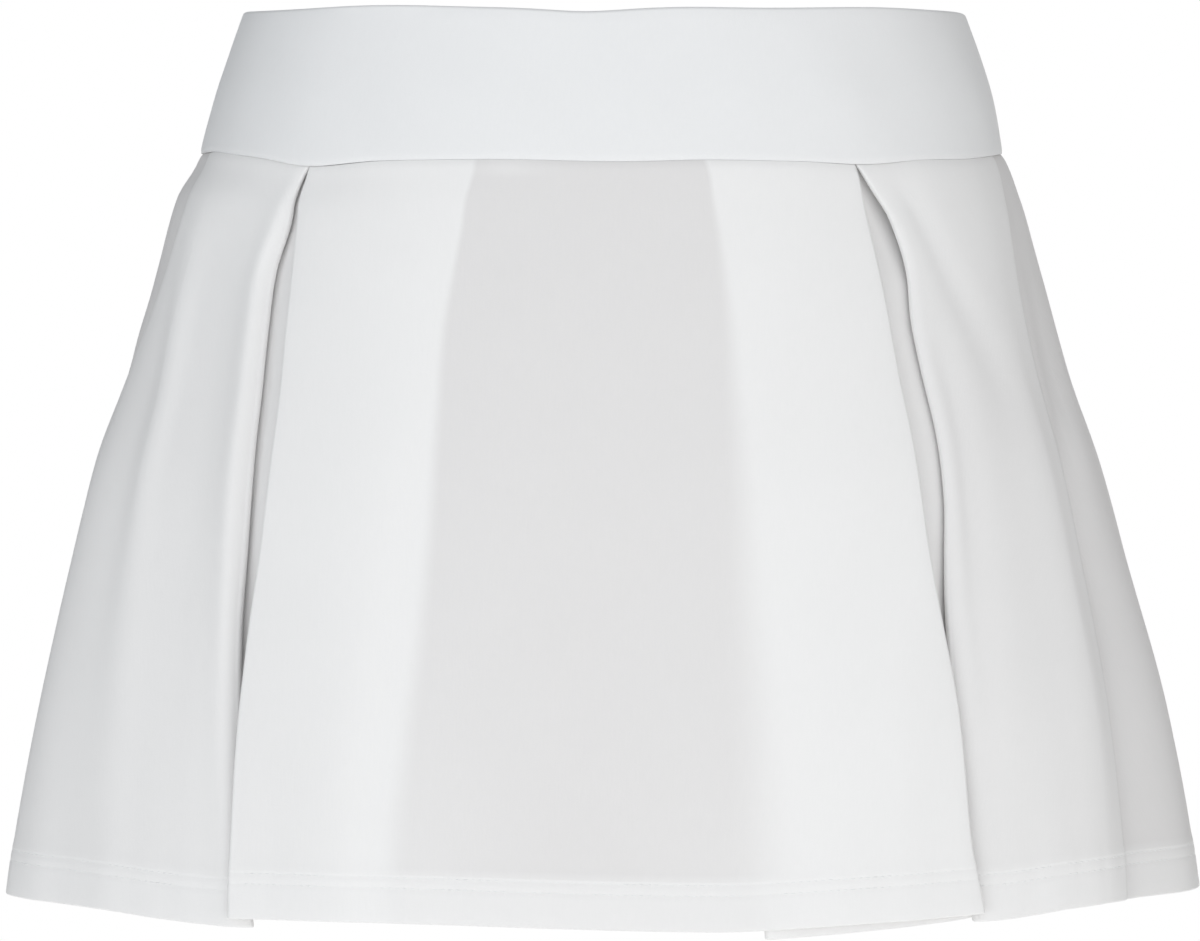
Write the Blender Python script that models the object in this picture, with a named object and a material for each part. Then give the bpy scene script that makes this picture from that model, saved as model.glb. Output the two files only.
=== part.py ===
"""Tennis skirt, filled out as worn: a wide shaped waistband over a flared skirt with four inverted pleats.

The front and the back of the skirt are each one cloth. From its side seam it runs across a side panel, folds
under, runs back as a return, folds again, crosses behind as the underlay, and comes out through two more folds
as the middle panel. The other half mirrors it. The lower edge is turned up into a hem.

Units: metres in Blender, millimetres and degrees in the tables. +X is the wearer's left, -Y the front, +Z up.
The origin is in the middle of the waist, half-way down the waistband.
"""

import math
from collections import namedtuple

import bmesh
import bpy
from mathutils import Vector

MM = 0.001

# Driving dimensions, in millimetres
BAND_TOP = 26.0  # height of the waistband's top edge above the origin
BAND_HEIGHT_SIDE = 52.0  # top edge to seam at the sides
SEAM_DIP = 3.5  # how much lower the seam lies at the middle of the front and back
SKIRT_LENGTH = 267.5  # seam to hem
CLOTH = 1.15  # wall of one cloth, measured level
HEM_CLOTH = 1.5  # wall where the hem is turned up
HEM_DEPTH = 17.0
BAND_WALL = 2.3  # the band is two cloths, turned over at the top
BAND_TURN_SIDES = 4  # facets of the turned top edge
SEAM_GAP = 0.3  # air between two sewn pieces
SIDE_SEAM_GAP = 0.5  # the same at the side seams, which run aslant
LAYER_AT_SEAM = 1.5  # from one folded layer's middle to the next, at the seam
LAYER_AT_HEM = 2.0
FOLD_FACETS = 3  # facets of the half turn at a fold
BAND_SEAM_ANGLE = 90.0  # the band's side seams
BAND_STEP = 6.0  # degrees between two stations of the band
BAND_ROWS = (20.0, 38.0)  # heights below the top edge at which the band's faces have a row
SHARP_FROM = 50.0  # degrees between two facets, above which the edge is drawn sharp

# Half-girths of the body that the cloth goes round, and how far its middle lies towards +X, a row for each height
# below a piece's top edge
Girth = namedtuple("Girth", "below half_width front back middle")
BAND_GIRTHS = (
    Girth(0.0, 133.8, 94.0, 92.0, 2.0),
    Girth(14.0, 138.6, 97.5, 95.5, 1.9),
    Girth(32.0, 144.2, 102.0, 101.0, 1.4),
    Girth(52.0, 149.1, 106.5, 107.0, 1.1),
    Girth(56.0, 149.9, 107.3, 108.2, 1.1),
)
SKIRT_GIRTHS = (
    Girth(0.0, 149.0, 106.7, 107.4, 1.1),
    Girth(4.0, 151.0, 109.0, 110.0, 0.9),
    Girth(16.0, 155.5, 112.2, 115.0, -0.4),
    Girth(43.0, 162.8, 118.6, 125.5, -0.8),
    Girth(78.0, 174.4, 126.2, 135.5, -1.7),
    Girth(114.0, 185.8, 133.2, 142.5, -1.3),
    Girth(149.0, 194.7, 139.6, 148.0, -0.3),
    Girth(203.0, 208.7, 148.6, 155.5, 1.0),
    Girth(256.0, 219.4, 156.2, 162.5, 1.4),
    Girth(272.0, 221.6, 158.2, 164.5, 1.4),
)

# Where each fold lies round the body, in degrees from the middle of the front (towards +X) at each height
PleatLine = namedtuple("PleatLine", "below side_inner side_edge middle_edge middle_inner")
FRONT_LEFT_PLEAT = (
    PleatLine(0.0, -66.0, -45.4, -44.3, -18.0),
    PleatLine(20.0, -66.0, -45.8, -43.2, -18.2),
    PleatLine(40.0, -65.5, -46.8, -42.3, -18.6),
    PleatLine(60.0, -65.0, -46.0, -41.2, -19.0),
    PleatLine(90.0, -63.0, -44.3, -39.9, -19.0),
    PleatLine(120.0, -61.5, -42.8, -39.1, -18.8),
    PleatLine(155.0, -60.0, -40.9, -38.6, -19.0),
    PleatLine(195.0, -58.0, -39.0, -38.2, -20.3),
    PleatLine(240.0, -56.0, -36.5, -37.4, -20.8),
    PleatLine(267.5, -55.0, -35.0, -36.8, -21.0),
)
FRONT_RIGHT_PLEAT = (
    PleatLine(0.0, 59.0, 38.2, 37.0, 14.0),
    PleatLine(20.0, 58.5, 42.6, 37.4, 15.0),
    PleatLine(40.0, 58.0, 43.8, 37.7, 15.6),
    PleatLine(60.0, 57.0, 43.0, 37.9, 16.0),
    PleatLine(90.0, 56.0, 42.9, 37.8, 16.5),
    PleatLine(120.0, 54.5, 41.4, 37.5, 16.7),
    PleatLine(155.0, 53.0, 39.7, 37.3, 16.8),
    PleatLine(195.0, 51.5, 38.6, 37.6, 16.8),
    PleatLine(240.0, 50.5, 37.7, 37.9, 16.0),
    PleatLine(267.5, 50.0, 37.3, 38.0, 15.2),
)
BACK_RIGHT_PLEAT = (
    PleatLine(0.0, 119.0, 139.2, 140.4, 164.0),
    PleatLine(20.0, 119.5, 138.4, 140.9, 164.0),
    PleatLine(60.0, 120.5, 137.4, 141.5, 163.5),
    PleatLine(120.0, 122.0, 138.8, 142.2, 163.0),
    PleatLine(195.0, 124.0, 141.6, 142.6, 162.0),
    PleatLine(267.5, 126.0, 144.2, 142.8, 161.5),
)
BACK_LEFT_PLEAT = (
    PleatLine(0.0, 239.0, 220.6, 219.4, 196.0),
    PleatLine(20.0, 238.5, 221.8, 218.9, 196.2),
    PleatLine(60.0, 237.5, 222.2, 218.2, 196.5),
    PleatLine(120.0, 236.0, 220.8, 217.6, 197.0),
    PleatLine(195.0, 234.5, 218.4, 217.3, 197.6),
    PleatLine(267.5, 233.0, 216.4, 217.6, 198.0),
)

# The side seams, in the same degrees, and the depth of the groove that the cloth makes along them
SeamLine = namedtuple("SeamLine", "below left right groove")
SIDE_SEAMS = (
    SeamLine(0.0, -76.0, 76.0, 1.2),
    SeamLine(20.0, -73.0, 71.5, 2.6),
    SeamLine(40.0, -73.5, 68.8, 3.2),
    SeamLine(60.0, -75.0, 66.6, 3.4),
    SeamLine(90.0, -82.0, 64.2, 3.2),
    SeamLine(120.0, -89.0, 62.4, 3.0),
    SeamLine(155.0, -93.0, 60.8, 2.8),
    SeamLine(195.0, -95.0, 60.3, 2.6),
    SeamLine(267.5, -97.0, 58.5, 2.4),
)

# How deep the side panel's folded edge is tucked, and how deep the underlay lies between the two edges
Tuck = namedtuple("Tuck", "below edge underlay")
TUCKS = (
    Tuck(0.0, 0.0, 3.2),
    Tuck(20.0, 0.0, 6.5),
    Tuck(40.0, 0.4, 8.5),
    Tuck(90.0, 1.8, 9.5),
    Tuck(155.0, 3.4, 9.5),
    Tuck(195.0, 4.1, 9.0),
    Tuck(267.5, 4.2, 8.6),
)

# How much lower than level the hem hangs at each fold, and how far the middle panel's hem bows and leans
Hang = namedtuple("Hang", "side_far side_edge side_inner gap middle_inner middle_edge")
FRONT_LEFT_HANG = Hang(0.2, 2.6, 0.6, -1.2, -0.8, -0.3)
FRONT_RIGHT_HANG = Hang(-0.6, 1.7, 0.4, 1.4, 6.4, -0.3)
BACK_HANG = Hang(0.0, 1.8, 0.6, -0.8, -0.6, -0.3)
Bow = namedtuple("Bow", "middle lean")
FRONT_BOW = Bow(1.4, 1.3)
BACK_BOW = Bow(1.0, -0.5)

# The largest soft folds: where the ridge (or trough, below nought) runs, how wide it is and how far it stands out
Drape = namedtuple("Drape", "top_angle hem_angle spread top_height mid_height hem_height")
DRAPES = (
    Drape(-66.0, -56.0, 7.0, 0.5, 2.6, 2.0),
    Drape(-53.0, -48.0, 5.0, -0.4, -2.0, -0.6),
    Drape(50.0, 47.0, 4.5, -1.2, -2.4, -0.6),
    Drape(60.0, 52.0, 6.0, 0.4, 1.6, 1.6),
    Drape(82.0, 78.0, 8.0, 1.5, 2.4, 2.2),
    Drape(104.0, 100.0, 8.0, -0.8, -2.6, -3.0),
    Drape(127.0, 124.0, 7.0, 0.6, 2.0, 2.6),
    Drape(235.0, 240.0, 8.0, 0.4, 2.2, 2.4),
    Drape(256.0, 254.0, 7.0, -0.6, -2.4, -2.8),
    Drape(278.0, 270.0, 6.0, 1.5, 1.0, 1.6),
)

# Stations along the cloth, and rows down it
LAYER_SHARES = (0.25, 0.5, 0.75)  # of the way from a folded edge to its inner fold, the same in every layer
GAP_STATIONS = 2  # of the underlay, between the two folded edges
MIDDLE_STATIONS = 3  # across the middle panel, between the two inner folds behind it
SIDE_STATIONS = 4  # across the plain part of a side panel
ROWS_BELOW = (0.0, 4.0, 20.0, 45.0, 78.0, 120.0, 160.0, 205.0)  # then those at the hem
HEM_STEP = 1.5  # height over which the wall thickens at the top of the hem
GROOVE_RUN = (0.0, 1.8, 4.0, 8.0)  # from the side seam into the panel that rolls over it
GROOVE_SHARE = (1.0, 0.8, 0.26, 0.0)  # of the groove's depth, at each of those
RISE_RUN = (0.0, 2.4, 7.0, 14.0, 24.0)  # from the side seam into the panel that comes out from under it
RISE_SHARE = (1.08, 1.22, 0.98, 0.38, 0.0)

WHITE_KNIT = (0.86, 0.87, 0.88, 1.0)
WHITE_BAND_KNIT = (0.88, 0.89, 0.90, 1.0)
KNIT_ROUGHNESS = 0.85

Station = namedtuple("Station", "angle depth hang")


def look_up(table, below, column):
    """The table's value at a height, on a smooth curve through its rows."""
    keys = [row.below for row in table]
    values = [getattr(row, column) for row in table]
    if below <= keys[0]:
        return values[0]
    if below >= keys[-1]:
        return values[-1]
    slopes = [(b - a) / (k - j) for a, b, j, k in zip(values, values[1:], keys, keys[1:])]
    bends = [slopes[0]]
    for before, after in zip(slopes, slopes[1:]):
        same_way = before * after > 0
        bends.append(2 * before * after / (before + after) if same_way else 0.0)
    bends.append(slopes[-1])
    i = max(n for n, key in enumerate(keys[:-1]) if key <= below)
    span = keys[i + 1] - keys[i]
    t = (below - keys[i]) / span
    start = values[i] * (1 + 2 * t) + bends[i] * span * t
    end = values[i + 1] * (3 - 2 * t) - bends[i + 1] * span * (1 - t)
    return start * (1 - t) ** 2 + end * t**2


def seam_drop(angle):
    """Height of the band at an angle: its seam dips at the middle of the front and back."""
    return BAND_HEIGHT_SIDE + SEAM_DIP * math.cos(math.radians(angle)) ** 2


def body_point(girths, angle, below, depth):
    """Point in plan, in millimetres, at a depth inside the body's outline."""
    turn = math.radians(angle)
    half_width = look_up(girths, below, "half_width")
    half_depth = look_up(girths, below, "front" if math.cos(turn) > 0 else "back")
    middle = look_up(girths, below, "middle")
    out = Vector((math.sin(turn) / half_width, -math.cos(turn) / half_depth)).normalized()
    return Vector((middle + half_width * math.sin(turn), -half_depth * math.cos(turn))) - out * depth


def degrees_for(length, angle, below, girths=SKIRT_GIRTHS):
    """The angle that a length in millimetres takes up along the outline of the skirt, or of the band."""
    ahead = body_point(girths, angle + 0.5, below, 0.0)
    behind = body_point(girths, angle - 0.5, below, 0.0)
    return length / (ahead - behind).length


def drape_height(angle, below):
    """How far the soft folds stand out from the outline here, in millimetres."""
    down = below / SKIRT_LENGTH
    total = 0.0
    for drape in DRAPES:
        centre = drape.top_angle + (drape.hem_angle - drape.top_angle) * down
        away = (angle - centre + 180.0) % 360.0 - 180.0
        rise = min(1.0, 2 * down)
        fall = max(0.0, 2 * down - 1)
        height = drape.top_height + (drape.mid_height - drape.top_height) * rise
        height += (drape.hem_height - drape.mid_height) * fall
        total += height * math.exp(-((away / drape.spread) ** 2))
    return total


def mix(start, end, share):
    """The value a share of the way from one to another."""
    return start + (end - start) * share


def spread(start, end, count):
    """Values between two others, at an even step, without the two."""
    return [mix(start, end, (n + 1) / (count + 1)) for n in range(count)]


def fold(edge, side, from_depth, to_depth, hang, below):
    """A half turn that reaches out to the edge. The side is +1 where the cloth comes to it from smaller angles."""
    radius = abs(to_depth - from_depth) / 2
    middle = (from_depth + to_depth) / 2
    stations = []
    for n in range(FOLD_FACETS + 1):
        turn = math.pi * n / FOLD_FACETS
        along = side * radius * (math.sin(turn) - 1)
        depth = middle + (from_depth - middle) * math.cos(turn)
        stations.append(Station(edge + degrees_for(along, edge, below), depth, hang))
    return stations


def layer(edge, inner, shares, depth_at, edge_hang, inner_hang):
    """Stations of one layer of a pleat, at shares of the way from a folded edge to its inner fold."""
    return [
        Station(mix(edge, inner, share), depth_at(share), mix(edge_hang, inner_hang, share)) for share in shares
    ]


def pleat(lines, hang, below):
    """Stations of one inverted pleat, from the side panel over its inner fold to the middle panel's folded edge."""
    side_inner, side_edge, middle_edge, middle_inner = (look_up(lines, below, name) for name in PleatLine._fields[1:])
    side, middle = (side_edge, side_inner), (middle_edge, middle_inner)
    outward = 1 if middle_inner > side_inner else -1
    step = mix(LAYER_AT_SEAM, LAYER_AT_HEM, below / SKIRT_LENGTH)
    tuck = look_up(TUCKS, below, "edge")
    under = look_up(TUCKS, below, "underlay")

    def side_panel_depth(share):
        return tuck * (1 - share) ** 2

    def side_return_depth(share):
        return step + side_panel_depth(share)

    def underlay_depth(share):
        return mix(under, 2 * step, share**2)

    def middle_return_depth(share):
        return step

    in_shares, out_shares = LAYER_SHARES, LAYER_SHARES[::-1]
    gap_angles = spread(*sorted((side_edge, middle_edge), reverse=outward < 0), GAP_STATIONS)
    return (
        layer(*side, (1.0, *out_shares), side_panel_depth, hang.side_edge, hang.side_far)
        + fold(side_edge, outward, tuck, tuck + step, hang.side_edge, below)
        + layer(*side, in_shares, side_return_depth, hang.side_edge, hang.side_inner)
        + fold(side_inner, -outward, step, 2 * step, hang.side_inner, below)
        + layer(*side, out_shares, underlay_depth, hang.gap, hang.side_inner)
        + [Station(angle, under, hang.gap) for angle in gap_angles]
        + layer(*middle, in_shares, underlay_depth, hang.gap, hang.middle_inner)
        + fold(middle_inner, outward, 2 * step, step, hang.middle_inner, below)
        + layer(*middle, out_shares, middle_return_depth, hang.middle_edge, hang.middle_inner)
        + fold(middle_edge, -outward, step, 0.0, hang.middle_edge, below)
    )


def middle_panel(first_lines, last_lines, edge_hang, bow, below):
    """Stations of the middle panel, over those of the layers behind it."""
    first_edge, last_edge = (look_up(lines, below, "middle_edge") for lines in (first_lines, last_lines))
    first_inner, last_inner = (look_up(lines, below, "middle_inner") for lines in (first_lines, last_lines))
    angles = [mix(first_edge, first_inner, share) for share in (*LAYER_SHARES, 1.0)]
    angles += spread(first_inner, last_inner, MIDDLE_STATIONS)
    angles += [mix(last_edge, last_inner, share) for share in (1.0, *LAYER_SHARES[::-1])]
    stations = []
    for angle in angles:
        turn = math.pi * (angle - first_edge) / (last_edge - first_edge)
        hang = edge_hang + bow.middle * math.sin(turn) - bow.lean * math.sin(2 * turn)
        stations.append(Station(angle, 0.0, hang))
    return stations


def side_panel(before, after):
    """Stations across the plain part of a side panel, between two that are known."""
    return [
        Station(angle, 0.0, hang)
        for angle, hang in zip(
            spread(before.angle, after.angle, SIDE_STATIONS), spread(before.hang, after.hang, SIDE_STATIONS)
        )
    ]


def beside_seam(seam, half, away, below):
    """Stations beside a side seam, where the cloth dips into the groove. Away is +1 towards larger angles."""
    groove = look_up(SIDE_SEAMS, below, "groove")
    runs, shares = (GROOVE_RUN, GROOVE_SHARE) if half == "front" else (RISE_RUN, RISE_SHARE)
    return [
        Station(seam + away * degrees_for(run + SIDE_SEAM_GAP / 2, seam, below), groove * share, 0.0)
        for run, share in zip(runs, shares)
    ]


def section(below, half):
    """All stations of a front or back at one height, in the order that the cloth runs round towards +X."""
    first_seam, last_seam = (look_up(SIDE_SEAMS, below, side) for side in ("left", "right"))
    first_lines, last_lines, first_hang, last_hang, bow = (
        (FRONT_LEFT_PLEAT, FRONT_RIGHT_PLEAT, FRONT_LEFT_HANG, FRONT_RIGHT_HANG, FRONT_BOW)
        if half == "front"
        else (BACK_RIGHT_PLEAT, BACK_LEFT_PLEAT, BACK_HANG, BACK_HANG, BACK_BOW)
    )
    if half == "back":
        first_seam, last_seam = last_seam, first_seam + 360.0
    start = beside_seam(first_seam, half, 1, below)
    end = beside_seam(last_seam, half, -1, below)[::-1]
    first_pleat = pleat(first_lines, first_hang, below)
    last_pleat = pleat(last_lines, last_hang, below)[::-1]
    return (
        start
        + side_panel(start[-1], first_pleat[0])
        + first_pleat
        + middle_panel(first_lines, last_lines, first_hang.middle_edge, bow, below)
        + last_pleat
        + side_panel(last_pleat[-1], end[0])
        + end
    )


def make_node(name, mesh, colour):
    """A smooth-shaded object with its own knit material."""
    node = bpy.data.objects.new(name, mesh)
    bpy.context.scene.collection.objects.link(node)
    material = bpy.data.materials.new(name + "_knit")
    material.use_nodes = True
    shader = material.node_tree.nodes["Principled BSDF"]
    shader.inputs["Base Color"].default_value = colour
    shader.inputs["Roughness"].default_value = KNIT_ROUGHNESS
    shader.inputs["Metallic"].default_value = 0.0
    mesh.materials.append(material)
    mesh.shade_smooth()
    mesh.set_sharp_from_angle(angle=math.radians(SHARP_FROM))
    return node


def make_mesh(name, rows, join_ends):
    """A closed mesh round rows of points, each row a closed loop. It is capped, or its rim filled in pairs."""
    shell = bmesh.new()
    grid = [[shell.verts.new(point * MM) for point in row] for row in rows]
    count = len(rows[0])
    for upper, lower in zip(grid, grid[1:]):
        for n in range(count):
            m = (n + 1) % count
            shell.faces.new((upper[n], lower[n], lower[m], upper[m]))
    for rim in (grid[0], grid[-1][::-1]):
        if not join_ends:
            shell.faces.new(rim)
            continue
        for n in range(count // 2 - 1):
            shell.faces.new((rim[n], rim[n + 1], rim[-n - 2], rim[-n - 1]))
    bmesh.ops.recalc_face_normals(shell, faces=shell.faces)
    mesh = bpy.data.meshes.new(name)
    shell.to_mesh(mesh)
    shell.free()
    return mesh


def thicken(path, end_sides, wall):
    """The loop round a cloth whose middle line is the path: each face lies half the wall from it, square in plan."""
    steps = [after - before for before, after in zip(path, path[1:])]
    sides = [Vector((step.y, -step.x, 0.0)).normalized() for step in steps]
    mitres = [(one + other) / (1 + one.dot(other)) for one, other in zip(sides, sides[1:])]
    offsets = [side * wall / 2 for side in (end_sides[0], *mitres, end_sides[1])]
    outer = [point + offset for point, offset in zip(path, offsets)]
    inner = [point - offset for point, offset in zip(path, offsets)]
    return outer + inner[::-1]


def skirt_row(half, below):
    """The middle line of a front or back at one height, and the directions in which its two ends are cut."""
    path, ways_out = [], []
    for station in section(below, half):
        level = seam_drop(0.0) - seam_drop(station.angle)
        hung = below + (level + station.hang) * (below / SKIRT_LENGTH) ** 2
        depth = station.depth + CLOTH / 2 - drape_height(station.angle, below)
        plan = body_point(SKIRT_GIRTHS, station.angle, hung, depth)
        path.append(Vector((*plan, BAND_TOP - seam_drop(station.angle) - SEAM_GAP - hung)))
        ways_out.append(body_point(SKIRT_GIRTHS, station.angle, hung, depth - 1.0) - plan)
    return path, [way.to_3d() for way in (ways_out[0], ways_out[-1])]


def make_skirt(name, half):
    """Front or back of the skirt: the folded cloth's wall, row by row from the seam to the hem."""
    hem_top = SKIRT_LENGTH - HEM_DEPTH
    rows = []
    for below in (*ROWS_BELOW, hem_top - HEM_STEP, hem_top, SKIRT_LENGTH):
        path, end_sides = skirt_row(half, below)
        rows.append(thicken(path, end_sides, HEM_CLOTH if below >= hem_top else CLOTH))
    return make_node(name, make_mesh(name, rows, join_ends=True), WHITE_KNIT)


def band_profile(angle):
    """The band's closed cross-section at an angle: up its outer face, over the turned edge, and down inside."""
    radius = BAND_WALL / 2
    depth_below = [(0.0, below) for below in (seam_drop(angle), *BAND_ROWS[::-1])]
    for n in range(BAND_TURN_SIDES + 1):
        turn = math.pi * n / BAND_TURN_SIDES
        depth_below.append((radius - radius * math.cos(turn), radius - radius * math.sin(turn)))
    depth_below += [(BAND_WALL, below) for below in (*BAND_ROWS, seam_drop(angle))]
    points = []
    for depth, below in depth_below:
        plan = body_point(BAND_GIRTHS, angle, below, depth)
        points.append(Vector((plan.x, plan.y, BAND_TOP - below)))
    return points


def make_band(name, first, last):
    """Half of the waistband, swept from one side seam to the other."""
    air = degrees_for(SEAM_GAP / 2, BAND_SEAM_ANGLE, 0.0, BAND_GIRTHS)
    steps = round((last - first) / BAND_STEP)
    angles = [first + air + (last - first - 2 * air) * n / steps for n in range(steps + 1)]
    rows = [band_profile(angle) for angle in angles]
    return make_node(name, make_mesh(name, rows, join_ends=False), WHITE_BAND_KNIT)


def main():
    for old in list(bpy.data.objects):
        bpy.data.objects.remove(old)
    make_band("waistband_front", -BAND_SEAM_ANGLE, BAND_SEAM_ANGLE)
    make_band("waistband_back", BAND_SEAM_ANGLE, 360.0 - BAND_SEAM_ANGLE)
    make_skirt("skirt_front", "front")
    make_skirt("skirt_back", "back")


main()
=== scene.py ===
"""Tennis skirt, filled out as worn: the looks of its knit cloth, seams, pleats and stitched hem.

Each cloth is a thin closed shell on the form of its solid. The front and the back of the skirt are each
one strip that runs from side seam to side seam through two inverted pleats. The waistband is a double
cloth turned over at the top. Along the hem two rows of stitches lie in shallow grooves.

Sizes are in millimetres and degrees, and a mesh gets metres. +X is the wearer's left, -Y the front and +Z
up. Angles run round the body from the middle of the front towards +X. Heights run down, from the waist
seam on the skirt and from the top edge on the waistband. The skirt's arrays have a row for each height and
a column for each station along the cloth. The waistband's have a row for each station.
"""

import logging
import math
from dataclasses import dataclass, field, replace
from enum import Enum
from typing import Any, NamedTuple, Sequence

import bpy
import numpy as np
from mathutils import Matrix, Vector

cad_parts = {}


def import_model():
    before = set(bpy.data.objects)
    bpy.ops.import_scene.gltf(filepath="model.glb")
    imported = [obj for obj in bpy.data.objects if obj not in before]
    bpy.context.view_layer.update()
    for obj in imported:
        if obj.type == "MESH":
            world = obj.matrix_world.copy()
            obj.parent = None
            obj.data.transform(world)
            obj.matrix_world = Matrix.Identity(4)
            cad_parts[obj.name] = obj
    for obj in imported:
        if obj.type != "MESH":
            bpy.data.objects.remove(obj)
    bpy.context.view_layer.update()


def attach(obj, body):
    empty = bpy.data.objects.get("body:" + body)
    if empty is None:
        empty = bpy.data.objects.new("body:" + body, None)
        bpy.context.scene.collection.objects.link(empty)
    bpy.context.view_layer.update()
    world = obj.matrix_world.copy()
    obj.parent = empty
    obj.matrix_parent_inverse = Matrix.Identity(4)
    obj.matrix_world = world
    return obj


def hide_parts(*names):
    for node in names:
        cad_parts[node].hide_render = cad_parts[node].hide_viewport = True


Values = float | np.ndarray

log = logging.getLogger("tennis_skirt")

MM = 0.001
HEM = 267.5  # height of the hem's edge, before it bows and leans
ROOT = "root"
WHITE = "#FFFFFF"


class Half(Enum):
    """The half of the skirt, or of its waistband, that a cloth makes."""

    FRONT = "front"
    BACK = "back"


class Slot(Enum):
    """The record's material slots."""

    SKIRT = "skirt_knit"
    BAND = "band_knit"


class Girth(NamedTuple):
    """Half-girths of the figure at one height, and how far its middle lies towards +X."""

    below: float
    half_width: float
    front: float
    back: float
    middle: float


class PleatLine(NamedTuple):
    """Angles of a pleat's four folds at one height."""

    below: Values
    side_inner: Values
    side_edge: Values
    middle_edge: Values
    middle_inner: Values


class Tuck(NamedTuple):
    """How deep the side panel's folded edge is tucked, and the underlay at either side of the gap."""

    below: float
    edge: float
    under_side: float
    under_middle: float


class Roll(NamedTuple):
    """How far a side panel's folded edge curls in, over what reach, and how far its return lies off it."""

    below: float
    dip: float
    reach: float
    gap: float


class SeamLine(NamedTuple):
    """Angles of the seams at the wearer's two sides at one height, and the depth of their groove."""

    below: float
    wearers_right: float
    wearers_left: float
    groove: float


class Hang(NamedTuple):
    """How much lower than level the hem hangs at each fold of a pleat."""

    side_far: float
    side_edge: float
    side_inner: float
    gap: float
    middle_inner: float
    middle_edge: float


class Bow(NamedTuple):
    """How far the middle panel's hem bows down, leans to one side and is lifted at its last pleat."""

    middle: float
    lean: float
    lift: float = 0.0
    lift_from: float = 0.62  # shares of the panel's width
    lift_run: float = 0.22


class Shift(NamedTuple):
    """How far a cloth is shifted inwards at a distance from a seam or a height."""

    at: float
    depth: float


class Pull(NamedTuple):
    """A place where an edge is pulled down, its spread in degrees to each side and how far it is pulled."""

    angle: float
    spread: float
    down: float


class Allowance(NamedTuple):
    """Where the waist seam's allowance lies flat behind the cloth, how far down, and how much it backs."""

    angle: float
    spread: float
    down: float
    edge: float
    backing_and_shade: float


class Mark(NamedTuple):
    """Crest of a soft fold at one height: its angle, its widths to both sides and how far it stands out."""

    below: float
    angle: float
    before: float
    after: float
    height: float


class Wave(NamedTuple):
    """One wave of a ripple: its length, its height and where it starts."""

    length: float
    height: float
    start: float


class Ring(NamedTuple):
    """One ring of a stitch: shares of the stitch's length and thickness, and how far out it lies."""

    along: float
    width: float
    out: float


def smooth(rows: Sequence[NamedTuple], column: str, key: np.ndarray) -> np.ndarray:
    """Reads a table on a smooth curve through its rows that doesn't overshoot them.

    Args:
        rows: The table. The first column of each row is its key, in rising order.
        column: Name of the column to read.
        key: Keys to read it at.

    Returns:
        The column's values, in the shape of the keys.
    """
    keys = np.array([row[0] for row in rows])
    values = np.array([getattr(row, column) for row in rows])
    slopes = np.diff(values) / np.diff(keys)
    # At each row the curve takes the harmonic mean of the slopes beside it, or lies level where they turn
    product, total = slopes[1:] * slopes[:-1], slopes[1:] + slopes[:-1]
    inner = np.where(product > 0, 2 * product / np.where(total == 0, 1, total), 0.0)
    bends = np.concatenate(([slopes[0]], inner, [slopes[-1]]))
    held = np.clip(key, keys[0], keys[-1])
    i = np.clip(np.searchsorted(keys, held, side="right") - 1, 0, len(keys) - 2)
    span = keys[i + 1] - keys[i]
    t = (held - keys[i]) / span
    start = values[i] * (1 + 2 * t) + bends[i] * span * t
    end = values[i + 1] * (3 - 2 * t) - bends[i + 1] * span * (1 - t)
    return start * (1 - t) ** 2 + end * t**2


def mix(start: Values, end: Values, share: Values) -> Values:
    """The value a share of the way from one to another."""
    return start + (end - start) * share


def ease(share: np.ndarray) -> np.ndarray:
    """A share held between 0 and 1, with a soft start and end."""
    held = np.clip(share, 0.0, 1.0)
    return held * held * (3 - 2 * held)


def bell(away: np.ndarray, spread: Values) -> np.ndarray:
    """A soft bump of height 1 that falls away with the distance from its middle."""
    return np.exp(-((away / spread) ** 2))


def steps(count: int, ends: bool = False) -> np.ndarray:
    """Shares at an even step from 0 to 1, with the two ends or without them."""
    return np.linspace(0, 1, count) if ends else np.linspace(0, 1, count + 2)[1:-1]


def turn_from(centre: Values, angle: np.ndarray) -> np.ndarray:
    """How far an angle lies from a centre, the short way round."""
    return (angle - centre + 180.0) % 360.0 - 180.0


def pulled_down(pulls: Sequence[Pull], angle: np.ndarray) -> np.ndarray:
    """How far all the pulls on an edge draw it down at an angle."""
    return sum(pull.down * bell(turn_from(pull.angle, angle), pull.spread) for pull in pulls)


def rounded(off: np.ndarray, radius: float) -> np.ndarray:
    """How far a cloth's rounded edge falls back at a distance from its end."""
    return radius - np.sqrt(np.maximum(radius**2 - np.maximum(radius - off, 0) ** 2, 0))


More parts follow.
